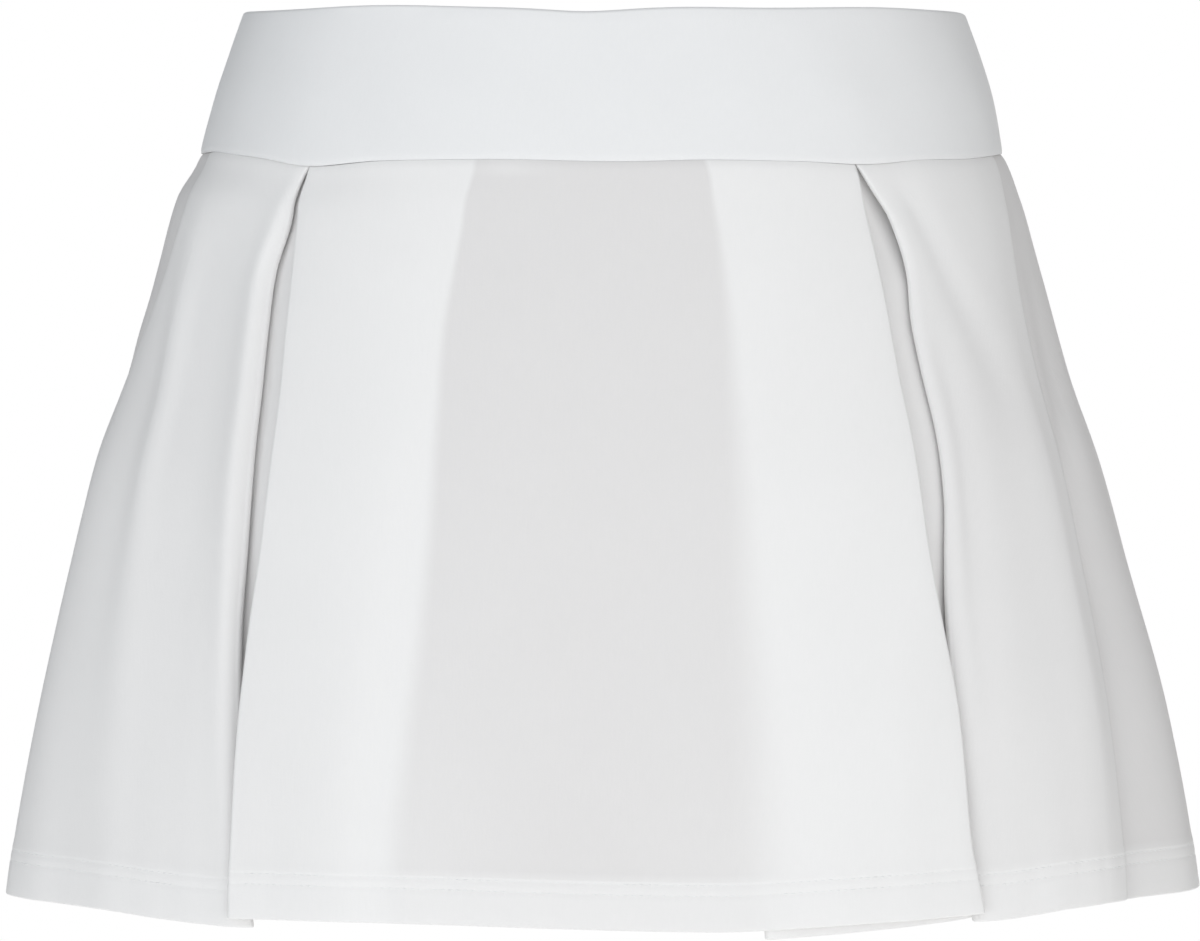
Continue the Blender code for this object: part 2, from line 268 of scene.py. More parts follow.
@dataclass(frozen=True)
class Figure:
    """The worn form: level sections that widen to the hem, each a little squarer than an ellipse."""

    girths: tuple[Girth, ...]
    squareness: float = 2.3  # power of the section's curve, 2 for an ellipse

    def plan(self, angle: np.ndarray, below: np.ndarray, depth: Values) -> tuple[np.ndarray, np.ndarray]:
        """Finds places in plan.

        Args:
            angle: Angles round the body.
            below: Heights.
            depth: Depths inside the outline.

        Returns:
            X and Y of each place.
        """
        turn, power = np.radians(angle), self.squareness
        across = np.sin(turn)
        forth = -np.sign(np.cos(turn)) * np.maximum(1 - np.abs(across) ** power, 0.0) ** (1 / power)
        half_width = smooth(self.girths, "half_width", below)
        front, back = smooth(self.girths, "front", below), smooth(self.girths, "back", below)
        half_depth = np.where(forth < 0, front, back)
        out_x = across * np.abs(across) ** (power - 2) / half_width
        out_y = np.sign(forth) * np.abs(forth) ** (power - 1) / half_depth
        length = np.hypot(out_x, out_y)
        x = smooth(self.girths, "middle", below) + half_width * across - out_x / length * depth
        return x, half_depth * forth - out_y / length * depth

    def degree(self, angle: np.ndarray, below: np.ndarray) -> np.ndarray:
        """Length of one degree of the outline, in millimetres."""
        ahead, behind = self.plan(angle + 0.5, below, 0.0), self.plan(angle - 0.5, below, 0.0)
        return np.hypot(ahead[0] - behind[0], ahead[1] - behind[1])


@dataclass(frozen=True)
class SoftFold:
    """A ridge of the cloth, or a trough where its height is below nought."""

    marks: tuple[Mark, ...]

    def height(self, figure: Figure, angle: np.ndarray, below: np.ndarray) -> np.ndarray:
        """How far the cloth stands out because of this fold.

        Args:
            figure: The worn form, which gives the fold's width in degrees.
            angle: Angles of the places, in the shape of the result.
            below: Heights, one for each row.

        Returns:
            The heights of the fold, in millimetres.
        """
        centre, before, after, height = (smooth(self.marks, name, below) for name in Mark._fields[1:])
        away = turn_from(centre, angle) * figure.degree(centre, below)
        return height * bell(away, np.where(away < 0, before, after))


@dataclass(frozen=True)
class Ripple:
    """Small uneven waves that run along a cloth."""

    waves: tuple[Wave, ...]

    def height(self, along: np.ndarray) -> np.ndarray:
        """Height of the waves at lengths along the cloth."""
        turn = 2 * math.pi * along
        return sum(wave.height * np.sin(turn / wave.length + wave.start) for wave in self.waves)


@dataclass(frozen=True)
class WaistSeam:
    """The seam between waistband and skirt, which dips at the middles and where the pleats pull on it."""

    band_top: float = 26.0  # height of the waistband's top edge over the origin
    side_drop: float = 52.0  # from that edge down to the seam, at the sides
    dip: float = 3.5  # how much lower the seam lies at the middles
    gap: float = 0.04
    pull_run: float = 70.0  # height below the seam over which a pull runs out
    pulls: tuple[Pull, ...] = (
        Pull(-74.0, 9.0, -1.0),
        Pull(-45.0, 9.0, 2.9),
        Pull(-13.0, 13.0, -1.0),
        Pull(14.0, 9.0, -0.8),
        Pull(40.0, 9.0, 1.9),
        Pull(62.0, 13.0, 1.3),
        Pull(139.0, 9.0, 1.8),
        Pull(176.0, 20.0, -0.7),
        Pull(221.0, 10.0, 2.2),
    )

    def level_drop(self, angle: np.ndarray) -> np.ndarray:
        """Height of the band down to its seam, as it was cut."""
        return self.side_drop + self.dip * np.cos(np.radians(angle)) ** 2

    def pulled(self, angle: np.ndarray) -> np.ndarray:
        """How far the pleats pull the seam down here."""
        return pulled_down(self.pulls, angle)

    def drop(self, angle: np.ndarray) -> np.ndarray:
        """Height of the band down to its seam, as it hangs."""
        return self.level_drop(angle) + self.pulled(angle)


@dataclass(frozen=True)
class Run:
    """A stretch of a cloth's strip: its stations' angle, depth, hang and backing, which sets painted shade.
    """

    angle: np.ndarray
    depth: np.ndarray
    hang: np.ndarray
    backing_and_shade: np.ndarray
    outermost: bool = False

    def turned(self) -> "Run":
        """The same stretch, run the other way."""
        flipped = {name: getattr(self, name)[:, ::-1] for name in ("angle", "depth", "hang", "backing_and_shade")}
        return replace(self, **flipped)


def run(angle: np.ndarray, depth: Values, hang: Values, backing_and_shade: Values, outermost: bool = False) -> Run:
    """A stretch whose values are spread to the shape of its angles."""
    depth, hang, backing_and_shade = (np.broadcast_to(value, angle.shape) for value in (depth, hang, backing_and_shade))
    return Run(angle, depth, hang, backing_and_shade, outermost)


@dataclass(frozen=True)
class Strip:
    """All stretches of a cloth, joined end to end."""

    runs: tuple[Run, ...]

    def values(self, name: str) -> np.ndarray:
        """One value of all stations: a row for each height."""
        return np.hstack([getattr(part, name) for part in self.runs])

    def outermost(self) -> list[slice]:
        """Finds the stretches that show on the outside.

        Returns:
            The stations of each.
        """
        stretches, start = [], 0
        for part in self.runs:
            end = start + part.angle.shape[1]
            if part.outermost:
                stretches.append(slice(start, end))
            start = end
        return stretches


@dataclass(frozen=True)
class Pleat:
    """An inverted pleat.

    The side panel folds under and back, the underlay crosses behind, and the middle panel comes out over its
    own return. The crowdings are powers that bring the stations close together near a fold.
    """

    lines: tuple[PleatLine, ...]
    tucks: tuple[Tuck, ...]
    rolls: tuple[Roll, ...]
    hang: Hang
    # Painted shade: below the folded layers' full backing, the side panel's white is painted greyer
    side_backing_and_shade: float = 0.75
    # Painted light: above the side's value, the seam's paints the upper side panel lighter to seam_reach
    seam_backing_and_light: float = 1.0  # sewn-in layers' backing at the seam, and painted light below it
    seam_reach: float = 100.0
    # Painted shade: the underlay's grey where it shows in the pleat's gap
    underlay_backing_and_shade: float = 0.5
    layer_at_seam: float = 1.5
    layer_at_hem: float = 2.0
    print_at_seam: float = 1.4  # width over which the inner fold shows through the panel
    print_at_hem: float = 10.0
    looseness_and_shade: float = 0.0  # painted shade: less backing away from the inner fold, at the hem
    loose_reach: float = 24.0
    painted_glow: float = 0.0  # painted light: the single cloth is lighter beside the inner fold, at the hem
    painted_glow_reach: float = 60.0
    side_sweep: float = 1.5  # powers of the curves by which the hem swings away from the folds
    inner_sweep: float = 0.7
    narrowest_gap: float = 0.05
    fold_facets: int = 8
    panel_stations: int = 24
    panel_crowding: float = 1.5
    return_stations: int = 12
    return_crowding: float = 1.4
    underlay_stations: int = 26
    middle_return_stations: int = 8

    def folds_at(self, below: np.ndarray) -> PleatLine:
        """Angles of the four folds at each height."""
        return PleatLine(below, *(smooth(self.lines, name, below) for name in PleatLine._fields[1:]))

    def backed(self, below: np.ndarray) -> np.ndarray:
        """How much the side panel is backed at each height, with painted shade and painted light."""
        return mix(self.seam_backing_and_light, self.side_backing_and_shade, ease(below / self.seam_reach))

    def layer_step(self, below: np.ndarray) -> np.ndarray:
        """From one folded layer's middle to the next."""
        return mix(self.layer_at_seam, self.layer_at_hem, np.clip(below / HEM, 0, 1))

    def show_through(self, beyond: np.ndarray, below: np.ndarray) -> np.ndarray:
        """Works out how much the folded layers back the middle panel, with painted shade and a painted glow.

        Args:
            beyond: Distances beyond the layers' inner fold.
            below: Heights.

        Returns:
            The backing at each place.
        """
        down = np.clip(below / HEM, 0, 1)
        width = mix(self.print_at_seam, self.print_at_hem, down)
        # Painted shade: the backed cloth greyer away from the inner fold, more towards the hem
        pressed_and_shaded = 1 - self.looseness_and_shade * down * (1 - bell(np.minimum(beyond, 0.0), self.loose_reach))
        # Painted light: the single cloth lighter beside the inner fold, more towards the hem
        glow = self.painted_glow * down**3 * (1 - ease(beyond / self.painted_glow_reach))
        return mix(glow, pressed_and_shaded, 1 - ease(beyond / width + 0.5))

    def half_turn(
        self,
        figure: Figure,
        below: np.ndarray,
        edge: np.ndarray,
        side: int,
        start: Values,
        end: Values,
        hang: float,
        backing_and_shade: Values = 1.0,
    ) -> Run:
        """Turns the cloth over at a fold.

        Args:
            figure: The worn form.
            below: Heights.
            edge: Angle that the fold reaches out to.
            side: +1 where the cloth comes to the fold from smaller angles, or -1.
            start: Depth of the layer before the fold.
            end: Depth of the layer after it.
            hang: How much lower the hem hangs here.
            backing_and_shade: How much other cloth backs the fold.

        Returns:
            The fold's stations.
        """
        radius, middle = np.abs(end - start) / 2, (start + end) / 2
        turn = math.pi * steps(self.fold_facets + 1, ends=True)
        along = side * radius * (np.sin(turn) - 1)
        depth = middle + (start - middle) * np.cos(turn)
        return run(edge + along / figure.degree(edge, below), depth, hang, backing_and_shade)

    def side_depth(self, below: np.ndarray, share: np.ndarray, away: np.ndarray) -> np.ndarray:
        """Depth of the side panel near its folded edge.

        Args:
            below: Heights.
            share: Share of the way from the folded edge to the inner fold.
            away: The same as a length.

        Returns:
            The depths.
        """
        curl = np.clip(1 - away / smooth(self.rolls, "reach", below), 0, 1) ** 2
        tuck = smooth(self.tucks, "edge", below) * (1 - share) ** 2
        return tuck + smooth(self.rolls, "dip", below) * curl

    def side_runs(self, figure: Figure, below: np.ndarray, outward: int) -> list[Run]:
        """Lays out the side panel's folded part, its return under it and the fold on to the underlay.

        Args:
            figure: The worn form.
            below: Heights.
            outward: +1 where the middle panel lies towards larger angles, or -1.

        Returns:
            Its stretches, in order.
        """
        folds, hang, layer = self.folds_at(below), self.hang, self.layer_step(below)
        gap, backed = smooth(self.rolls, "gap", below), self.backed(below)
        width = np.abs(folds.side_inner - folds.side_edge) * figure.degree(folds.side_edge, below)
        edge_radius = (layer + gap) / 2

        away = mix(edge_radius, width, steps(self.panel_stations)[::-1] ** self.panel_crowding)
        share = away / width
        panel = run(
            mix(folds.side_edge, folds.side_inner, share),
            self.side_depth(below, share, away),
            mix(hang.side_edge, hang.side_far, share**self.side_sweep),
            backed,
            outermost=True,
        )
        depth = self.side_depth(below, np.zeros_like(width), edge_radius)
        edge = self.half_turn(
            figure, below, folds.side_edge, outward, depth, depth + layer + gap, hang.side_edge, backed
        )
        away = mix(edge_radius, width - layer / 2, steps(self.return_stations) ** self.return_crowding)
        share = away / width
        side_return = run(
            mix(folds.side_edge, folds.side_inner, share),
            self.side_depth(below, share, away) + layer + gap * (1 - share) ** 3,
            mix(hang.side_edge, hang.side_inner, share),
            1.0,
        )
        inner = self.half_turn(figure, below, folds.side_inner, -outward, layer, 2 * layer, hang.side_inner)
        return [panel, edge, side_return, inner]

    def underlay(self, figure: Figure, below: np.ndarray, outward: int) -> Run:
        """Lays out the underlay, which crosses behind the two folded edges.

        Args:
            figure: The worn form.
            below: Heights.
            outward: +1 where the middle panel lies towards larger angles, or -1.

        Returns:
            Its stations.
        """
        _, side_inner, side_edge, middle_edge, middle_inner = self.folds_at(below)
        layer = self.layer_step(below)
        start = side_inner + outward * layer / 2 / figure.degree(side_inner, below)
        end = middle_inner - outward * layer / 2 / figure.degree(middle_inner, below)
        angle = mix(start, end, steps(self.underlay_stations))
        side_share = np.clip((angle - side_edge) / (side_inner - side_edge), 0, 1)
        middle_share = np.clip((angle - middle_edge) / (middle_inner - middle_edge), 0, 1)
        opening, narrowest = outward * (middle_edge - side_edge), self.narrowest_gap
        across = outward * (angle - side_edge) / np.maximum(opening, narrowest)
        across = ease(np.where(opening > narrowest, across, 0.5))
        side_depth = smooth(self.tucks, "under_side", below)
        middle_depth = smooth(self.tucks, "under_middle", below)
        share = np.maximum(side_share, middle_share)
        depth = mix(mix(side_depth, middle_depth, across), 2 * layer, share**2)
        inner_hang = np.where(side_share > middle_share, self.hang.side_inner, self.hang.middle_inner)
        hang = mix(self.hang.gap, inner_hang, share**self.inner_sweep)
        # Painted shade: the underlay's white is greyer in the gap between the folds
        return run(angle, depth, hang, self.underlay_backing_and_shade)

    def middle_runs(self, figure: Figure, below: np.ndarray, outward: int) -> list[Run]:
        """Lays out the fold off the underlay, the middle panel's return and its folded edge.

        Args:
            figure: The worn form.
            below: Heights.
            outward: +1 where the middle panel lies towards larger angles, or -1.

        Returns:
            Its stretches, in order.
        """
        folds, hang, layer = self.folds_at(below), self.hang, self.layer_step(below)
        width = np.abs(folds.middle_inner - folds.middle_edge) * figure.degree(folds.middle_edge, below)
        inner = self.half_turn(
            figure, below, folds.middle_inner, outward, 2 * layer, layer, hang.middle_inner
        )
        share = mix(layer / 2, width - layer / 2, steps(self.middle_return_stations)[::-1]) / width
        # Painted shade: no backing for the return, so it is greyer where it shows under the hem
        middle_return = run(
            mix(folds.middle_edge, folds.middle_inner, share),
            layer,
            mix(hang.middle_edge, hang.middle_inner, share**self.inner_sweep),
            0.0,
        )
        edge = self.half_turn(figure, below, folds.middle_edge, -outward, layer, 0.0, hang.middle_edge)
        return [inner, middle_return, edge]

    def runs(self, figure: Figure, below: np.ndarray) -> list[Run]:
        """Lays out the pleat.

        Args:
            figure: The worn form.
            below: Heights, one for each row.

        Returns:
            Its stretches, from the side panel's folded part to the middle panel's folded edge.
        """
        outward = 1 if self.lines[0].middle_inner > self.lines[0].side_inner else -1
        underlay = self.underlay(figure, below, outward)
        side, middle = (make(figure, below, outward) for make in (self.side_runs, self.middle_runs))
        return [*side, underlay, *middle]


@dataclass(kw_only=True)
class SkirtHalf:
    """The front or the back of the skirt: one cloth from side seam to side seam, with two inverted pleats.

    Its first pleat is the one at the smaller angles. The flat sizes are in metres, as the sheet is stated.
    """

    half: Half
    figure: Figure
    seam: WaistSeam
    sides: tuple[SeamLine, ...]
    first_pleat: Pleat
    last_pleat: Pleat
    bow: Bow
    folds: tuple[SoftFold, ...]
    flat_width: float
    flat_area: float
    wall: float = 1.0
    hem_wall: float = 1.5
    double_from: float = 247.0  # height at which the turned-up hem starts to thicken the wall
    double_run: float = 4.0
    thinnest: float = 0.01  # square of the share of the wall that is left at the hem's very edge
    hem_backing: float = 0.65
    backed_from: float = 249.8
    backed_run: float = 1.0
    allowance: Allowance = Allowance(-13.0, 4.5, 5.0, 3.0, 0.35)
    stitch_rows: tuple[float, ...] = (251.5, 255.2)
    stitch_groove: float = 0.18
    groove_width: float = 0.55
    pucker_reach: float = 5.0
    level_share: float = 0.2  # how far the hem is cut level, against following the seam's dip
    sharp_from: float = 50.0
    top_rows: tuple[float, ...] = (
        *(-4.5, -2.4, -0.8, -0.3, -0.12, -0.07, -0.05, -0.03, 0.0, 0.05),
        *(0.1, 0.2, 0.4, 0.7, 1.0, 1.5, 2.2, 3.2, 4.6, 6.6),
    )
    seam_row: int = 4  # the row along which the seam is measured
    plain_rows: tuple[float, float, float] = (9.2, 249.9, 3.1)  # first, end and step
    hem_rows: tuple[float, ...] = (
        *(250.3, 250.8, 251.1, 251.5, 251.9, 252.4, 253.2, 254.2),
        *(254.8, 255.2, 255.6, 256.2, 257.4, 259.4, 262.4),
    )
    edge_turns: tuple[float, ...] = (0.0, 25.0, 48.0, 68.0, 84.0)
    top_tuck: tuple[Shift, ...] = (
        Shift(-4.5, 3.0),
        Shift(-0.8, 2.9),
        Shift(-0.07, 2.6),
        Shift(-0.05, 1.9),
        Shift(0.0, 0.85),
        Shift(0.1, 0.75),
        Shift(0.4, 0.58),
        Shift(1.0, 0.34),
        Shift(2.2, 0.08),
        Shift(3.6, 0.0),
    )
    roll_over: tuple[Shift, ...] = (Shift(0.0, 0.3), Shift(1.0, 0.15), Shift(2.4, 0.04), Shift(4.6, 0.0))
    rise_out: tuple[Shift, ...] = (
        Shift(-3.2, 0.6),
        Shift(0.0, 0.62),
        Shift(3.0, 1.08),
        Shift(7.0, 1.25),
        Shift(12.0, 1.0),
        Shift(20.0, 0.48),
        Shift(30.0, 0.12),
        Shift(40.0, 0.0),
    )
    under_edge: tuple[Shift, ...] = (
        Shift(-3.2, 2.0),
        Shift(-0.4, 1.7),
        Shift(0.2, 1.2),
        Shift(0.8, 0.85),
        Shift(1.6, 0.75),
        Shift(6.4, 0.4),
        Shift(12.5, 0.1),
        Shift(17.0, 0.0),
    )
    over_stations: tuple[float, ...] = (0.1, 0.25, 0.45, 0.8, 1.3, 1.9, 2.7, 3.7, 5.0, 6.5, 8.5, 11.0)
    under_stations: tuple[float, ...] = (
        *(-3.2, -2.0, -1.0, -0.4, 0.0, 0.4, 0.8, 1.3, 2.0, 3.0),
        *(4.4, 6.4, 9.0, 12.5, 17.0, 22.0, 28.0, 34.0, 40.0),
    )
    side_stations: int = 36
    side_crowding: float = 1.15
    print_reach: float = 6.0  # how far to both sides of an inner fold the panel's stations are close
    print_stations: int = 13
    edge_stations: int = 17
    middle_stations: int = 22
    turned_edge: float = 0.8
    ripple: Ripple = Ripple((Wave(37.0, 0.16, 0.4), Wave(23.0, 0.12, 2.0), Wave(61.0, 0.2, 4.1)))
    pucker: Ripple = Ripple((Wave(7.3, 0.02, 0.0), Wave(11.9, 0.035, 1.3), Wave(4.7, 0.01, 2.6)))
    waves: Ripple = Ripple((Wave(83.0, 0.22, 1.0), Wave(47.0, 0.12, 3.3)))
    wave_slant: float = 0.3
    wave_end: float = 0.9  # share of the height below which the waves stay as they are there

    def rows(self) -> np.ndarray:
        """Lays out the cloth's rows, closer together at the seam and over the hem.

        Returns:
            Their heights, as a column.
        """
        radius = self.hem_wall / 2
        edge = HEM - radius + radius * np.sin(np.radians(self.edge_turns))
        return np.concatenate((self.top_rows, np.arange(*self.plain_rows), self.hem_rows, edge))[:, None]

    def wall_at(self, below: np.ndarray) -> np.ndarray:
        """Works out the cloth's thickness: more below the hem's stitching, and rounded off at its edge.

        Args:
            below: Heights.

        Returns:
            The thickness at each.
        """
        radius = self.hem_wall / 2
        wall = mix(self.wall, self.hem_wall, ease((below - self.double_from) / self.double_run))
        round_off = np.clip((below - HEM + radius) / radius, 0, 1)
        return wall * np.sqrt(np.maximum(1 - round_off**2, self.thinnest))

    def seam_angles(self, below: np.ndarray) -> tuple[np.ndarray, np.ndarray]:
        """Angles of the side seams at which this half starts and ends."""
        right, left = (smooth(self.sides, name, below) for name in ("wearers_right", "wearers_left"))
        return (right, left) if self.half is Half.FRONT else (left, right + 360.0)

    def beside_seam(self, seam: np.ndarray, away: int, pleat: Pleat, below: np.ndarray) -> Run:
        """Lays out the stations beside a side seam: the front rolls over it, the back comes from under it.

        Args:
            seam: Angle of the seam.
            away: +1 where the cloth lies towards larger angles, or -1.
            pleat: The pleat at the panel's other side.
            below: Heights.

        Returns:
            The stations, from the seam into the panel.
        """
        groove = smooth(self.sides, "groove", below)
        if self.half is Half.FRONT:
            off = np.array(self.over_stations)[None, :]
            depth = groove * smooth(self.roll_over, "depth", off) + rounded(off, self.turned_edge)
        else:
            off = np.array(self.under_stations)[None, :]
            depth = groove * smooth(self.rise_out, "depth", off) + smooth(self.under_edge, "depth", off)
        angle = seam + away * off / self.figure.degree(seam, below)
        return run(angle, depth, 0.0, pleat.backed(below), outermost=True)

    def side_panel(self, start: Run, pleat: Run) -> Run:
        """Lays out the plain part of a side panel.

        Args:
            start: The stations beside the seam.
            pleat: The folded part of the panel.

        Returns:
            The stations between the two.
        """
        share = steps(self.side_stations) ** self.side_crowding
        angle = mix(start.angle[:, -1:], pleat.angle[:, :1], share)
        hang = mix(0.0, pleat.hang[:, :1], share)
        return run(angle, 0.0, hang, pleat.backing_and_shade[:, :1], outermost=True)

    def middle_panel(self, below: np.ndarray) -> Run:
        """Lays out the middle panel, over the layers behind its two edges.

        Args:
            below: Heights.

        Returns:
            Its stations.
        """
        first, last = self.first_pleat.folds_at(below), self.last_pleat.folds_at(below)
        layer, bow = self.first_pleat.layer_step(below), self.bow
        edge_degree, last_edge_degree, first_degree, last_degree = (
            self.figure.degree(fold, below)
            for fold in (first.middle_edge, last.middle_edge, first.middle_inner, last.middle_inner)
        )
        start = first.middle_edge + layer / 2 / edge_degree
        end = last.middle_edge - layer / 2 / last_edge_degree
        first_near, last_near = self.print_reach / first_degree, self.print_reach / last_degree
        at_edge, at_print = steps(self.edge_stations), steps(self.print_stations, ends=True)
        parts = (
            mix(start, first.middle_inner - first_near, at_edge),
            mix(first.middle_inner - first_near, first.middle_inner + first_near, at_print),
            mix(first.middle_inner + first_near, last.middle_inner - last_near, steps(self.middle_stations)),
            mix(last.middle_inner - last_near, last.middle_inner + last_near, at_print),
            mix(last.middle_inner + last_near, end, at_edge),
        )
        angle = np.hstack(parts)
        share = (angle - first.middle_edge) / (last.middle_edge - first.middle_edge)
        bowed = bow.middle * np.sin(np.pi * share) - bow.lean * np.sin(2 * np.pi * share)
        lifted = bow.lift * ease((share - bow.lift_from) / bow.lift_run)
        hang = self.first_pleat.hang.middle_edge + bowed - lifted
        backing_and_shade = np.maximum(
            self.first_pleat.show_through((angle - first.middle_inner) * first_degree, below),
            self.last_pleat.show_through((last.middle_inner - angle) * last_degree, below),
        )
        return run(angle, 0.0, hang, backing_and_shade, outermost=True)

    def strip(self, below: np.ndarray) -> Strip:
        """Lays out the whole cloth from one side seam to the other.

        Args:
            below: Heights.

        Returns:
            Its stretches, in order.
        """
        sides = []
        for seam, away, pleat in zip(self.seam_angles(below), (1, -1), (self.first_pleat, self.last_pleat)):
            start, folded = self.beside_seam(seam, away, pleat, below), pleat.runs(self.figure, below)
            sides.append((start, self.side_panel(start, folded[0]), *folded))
        first, last = sides
        return Strip((*first, self.middle_panel(below), *(part.turned() for part in reversed(last))))

    def relief(self, angle: np.ndarray, below: np.ndarray) -> np.ndarray:
        """How far the cloth stands out from its plain form, by folds, ripples, puckers and grooves.

        Args:
            angle: Angles of the places.
            below: Heights, one for each row.

        Returns:
            The relief, in millimetres.
        """
        along = angle * self.figure.degree(np.zeros_like(below), below)
        down = np.clip(below / HEM, 0, 1)
        swell = np.sin(np.pi * np.clip(down, 0, self.wave_end))
        puckered = sum(bell(below - row, self.pucker_reach) for row in self.stitch_rows)
        height = sum(fold.height(self.figure, angle, below) for fold in self.folds)
        height = height + self.waves.height(along + self.wave_slant * below) * swell
        height = height + self.ripple.height(along) * down**4
        height = height + self.pucker.height(along) * puckered
        grooved = sum(bell(below - row, self.groove_width) for row in self.stitch_rows)
        return height - self.stitch_groove * grooved

    def middle_line(self, below: np.ndarray, strip: Strip) -> tuple[np.ndarray, np.ndarray]:
        """Places the middle of the cloth's wall.

        Args:
            below: Heights.
            strip: The cloth's stretches at those heights.

        Returns:
            The points, and the ways out of the figure at the first and last station.
        """
        angle, hang = strip.values("angle"), strip.values("hang")
        level = self.level_share * (self.seam.level_drop(0.0) - self.seam.level_drop(angle))
        hung = below + (level + hang) * np.clip(below / HEM, 0, 1) ** 2
        depth = strip.values("depth") + self.wall / 2 - self.relief(angle, below)
        depth = depth + smooth(self.top_tuck, "depth", below)
        pulled = self.seam.pulled(angle) * (1 - ease(below / self.seam.pull_run))
        z = self.seam.band_top - self.seam.level_drop(angle) - pulled - self.seam.gap - hung
        points = np.stack((*self.figure.plan(angle, hung, depth), z), axis=-1)
        nearer = np.stack((*self.figure.plan(angle, hung, depth - 1.0), z), axis=-1)
        ways_out = nearer - points
        return points, ways_out[:, (0, -1)]

    def shell(self) -> tuple[np.ndarray, np.ndarray, np.ndarray, Strip]:
        """Works out the two faces of the cloth, with mitred corners where it turns.

        Returns:
            Points of the outer and the inner face, lengths along the cloth from its middle, and the strip.
        """
        below = self.rows()
        strip = self.strip(below)
        path, ends = self.middle_line(below, strip)
        step = np.diff(path, axis=1)
        side = np.stack((step[..., 1], -step[..., 0], np.zeros(step.shape[:2])), axis=-1)
        side /= np.linalg.norm(side, axis=-1, keepdims=True)
        one, other = side[:, :-1], side[:, 1:]
        mitre = (one + other) / (1 + np.sum(one * other, axis=-1, keepdims=True))
        half_wall = (self.wall_at(below) / 2)[..., None]
        offset = np.concatenate((ends[:, :1], mitre, ends[:, 1:]), axis=1) * half_wall
        lengths = np.cumsum(np.linalg.norm(step, axis=-1), axis=1)
        along = np.concatenate((np.zeros((len(path), 1)), lengths), axis=1)
        along -= along[:, along.shape[1] // 2][:, None]
        return path + offset, path - offset, along, strip

    def backing_and_shade(self, below: np.ndarray, strip: Strip) -> np.ndarray:
        """Works out how much cloth lies behind each station, with the allowance and the turned-up hem.

        The backing sets the painted shade and light in the cloth's white.

        Args:
            below: Heights.
            strip: The cloth's stretches.

        Returns:
            The backing, from 0 to 1.
        """
        flat = self.allowance
        allowed = flat.backing_and_shade * bell(strip.values("angle") - flat.angle, flat.spread)
        allowed = allowed * ease((flat.down - below) / flat.edge + 0.5)
        doubled = self.hem_backing * ease((below - self.backed_from) / self.backed_run)
        return mix(mix(strip.values("backing_and_shade"), 1.0, allowed), 1.0, doubled)

    def build(self, knit: bpy.types.Material) -> bpy.types.Object:
        """Makes the cloth's shell and dresses it.

        Args:
            knit: The cloth's material.

        Returns:
            The cloth.
        """
        outer, inner, along, strip = self.shell()
        below = np.broadcast_to(self.rows(), along.shape)
        place = np.stack((along, below, np.zeros_like(along)), axis=-1)
        backing_and_shade = self.backing_and_shade(below, strip)
        cloth = make_shell(f"skirt_{self.half.value}_cloth", both_faces(outer, inner))
        dress_cloth(cloth, knit, both_faces(place, place), both_faces(backing_and_shade, backing_and_shade), self.sharp_from)
        seam_length, hem_length = np.ptp(along[self.seam_row]), np.ptp(along[-1])
        log.info("%s: %.0f mm along the seam and %.0f mm along the hem", cloth.name, seam_length, hem_length)
        return cloth

    def stitch_lines(self) -> list[tuple[np.ndarray, np.ndarray]]:
        """The lines that the hem's stitches follow on the outside.

        Returns:
            For each stretch of each row, its points and the ways out of the cloth there.
        """
        outer, inner, _, strip = self.shell()
        heights = self.rows()[:, 0]
        lines = []
        for row in self.stitch_rows:
            at = int(np.argmin(np.abs(heights - row)))
            for part in strip.outermost():
                out = outer[at, part] - inner[at, part]
                lines.append((outer[at, part], out / np.linalg.norm(out, axis=-1, keepdims=True)))
        return lines


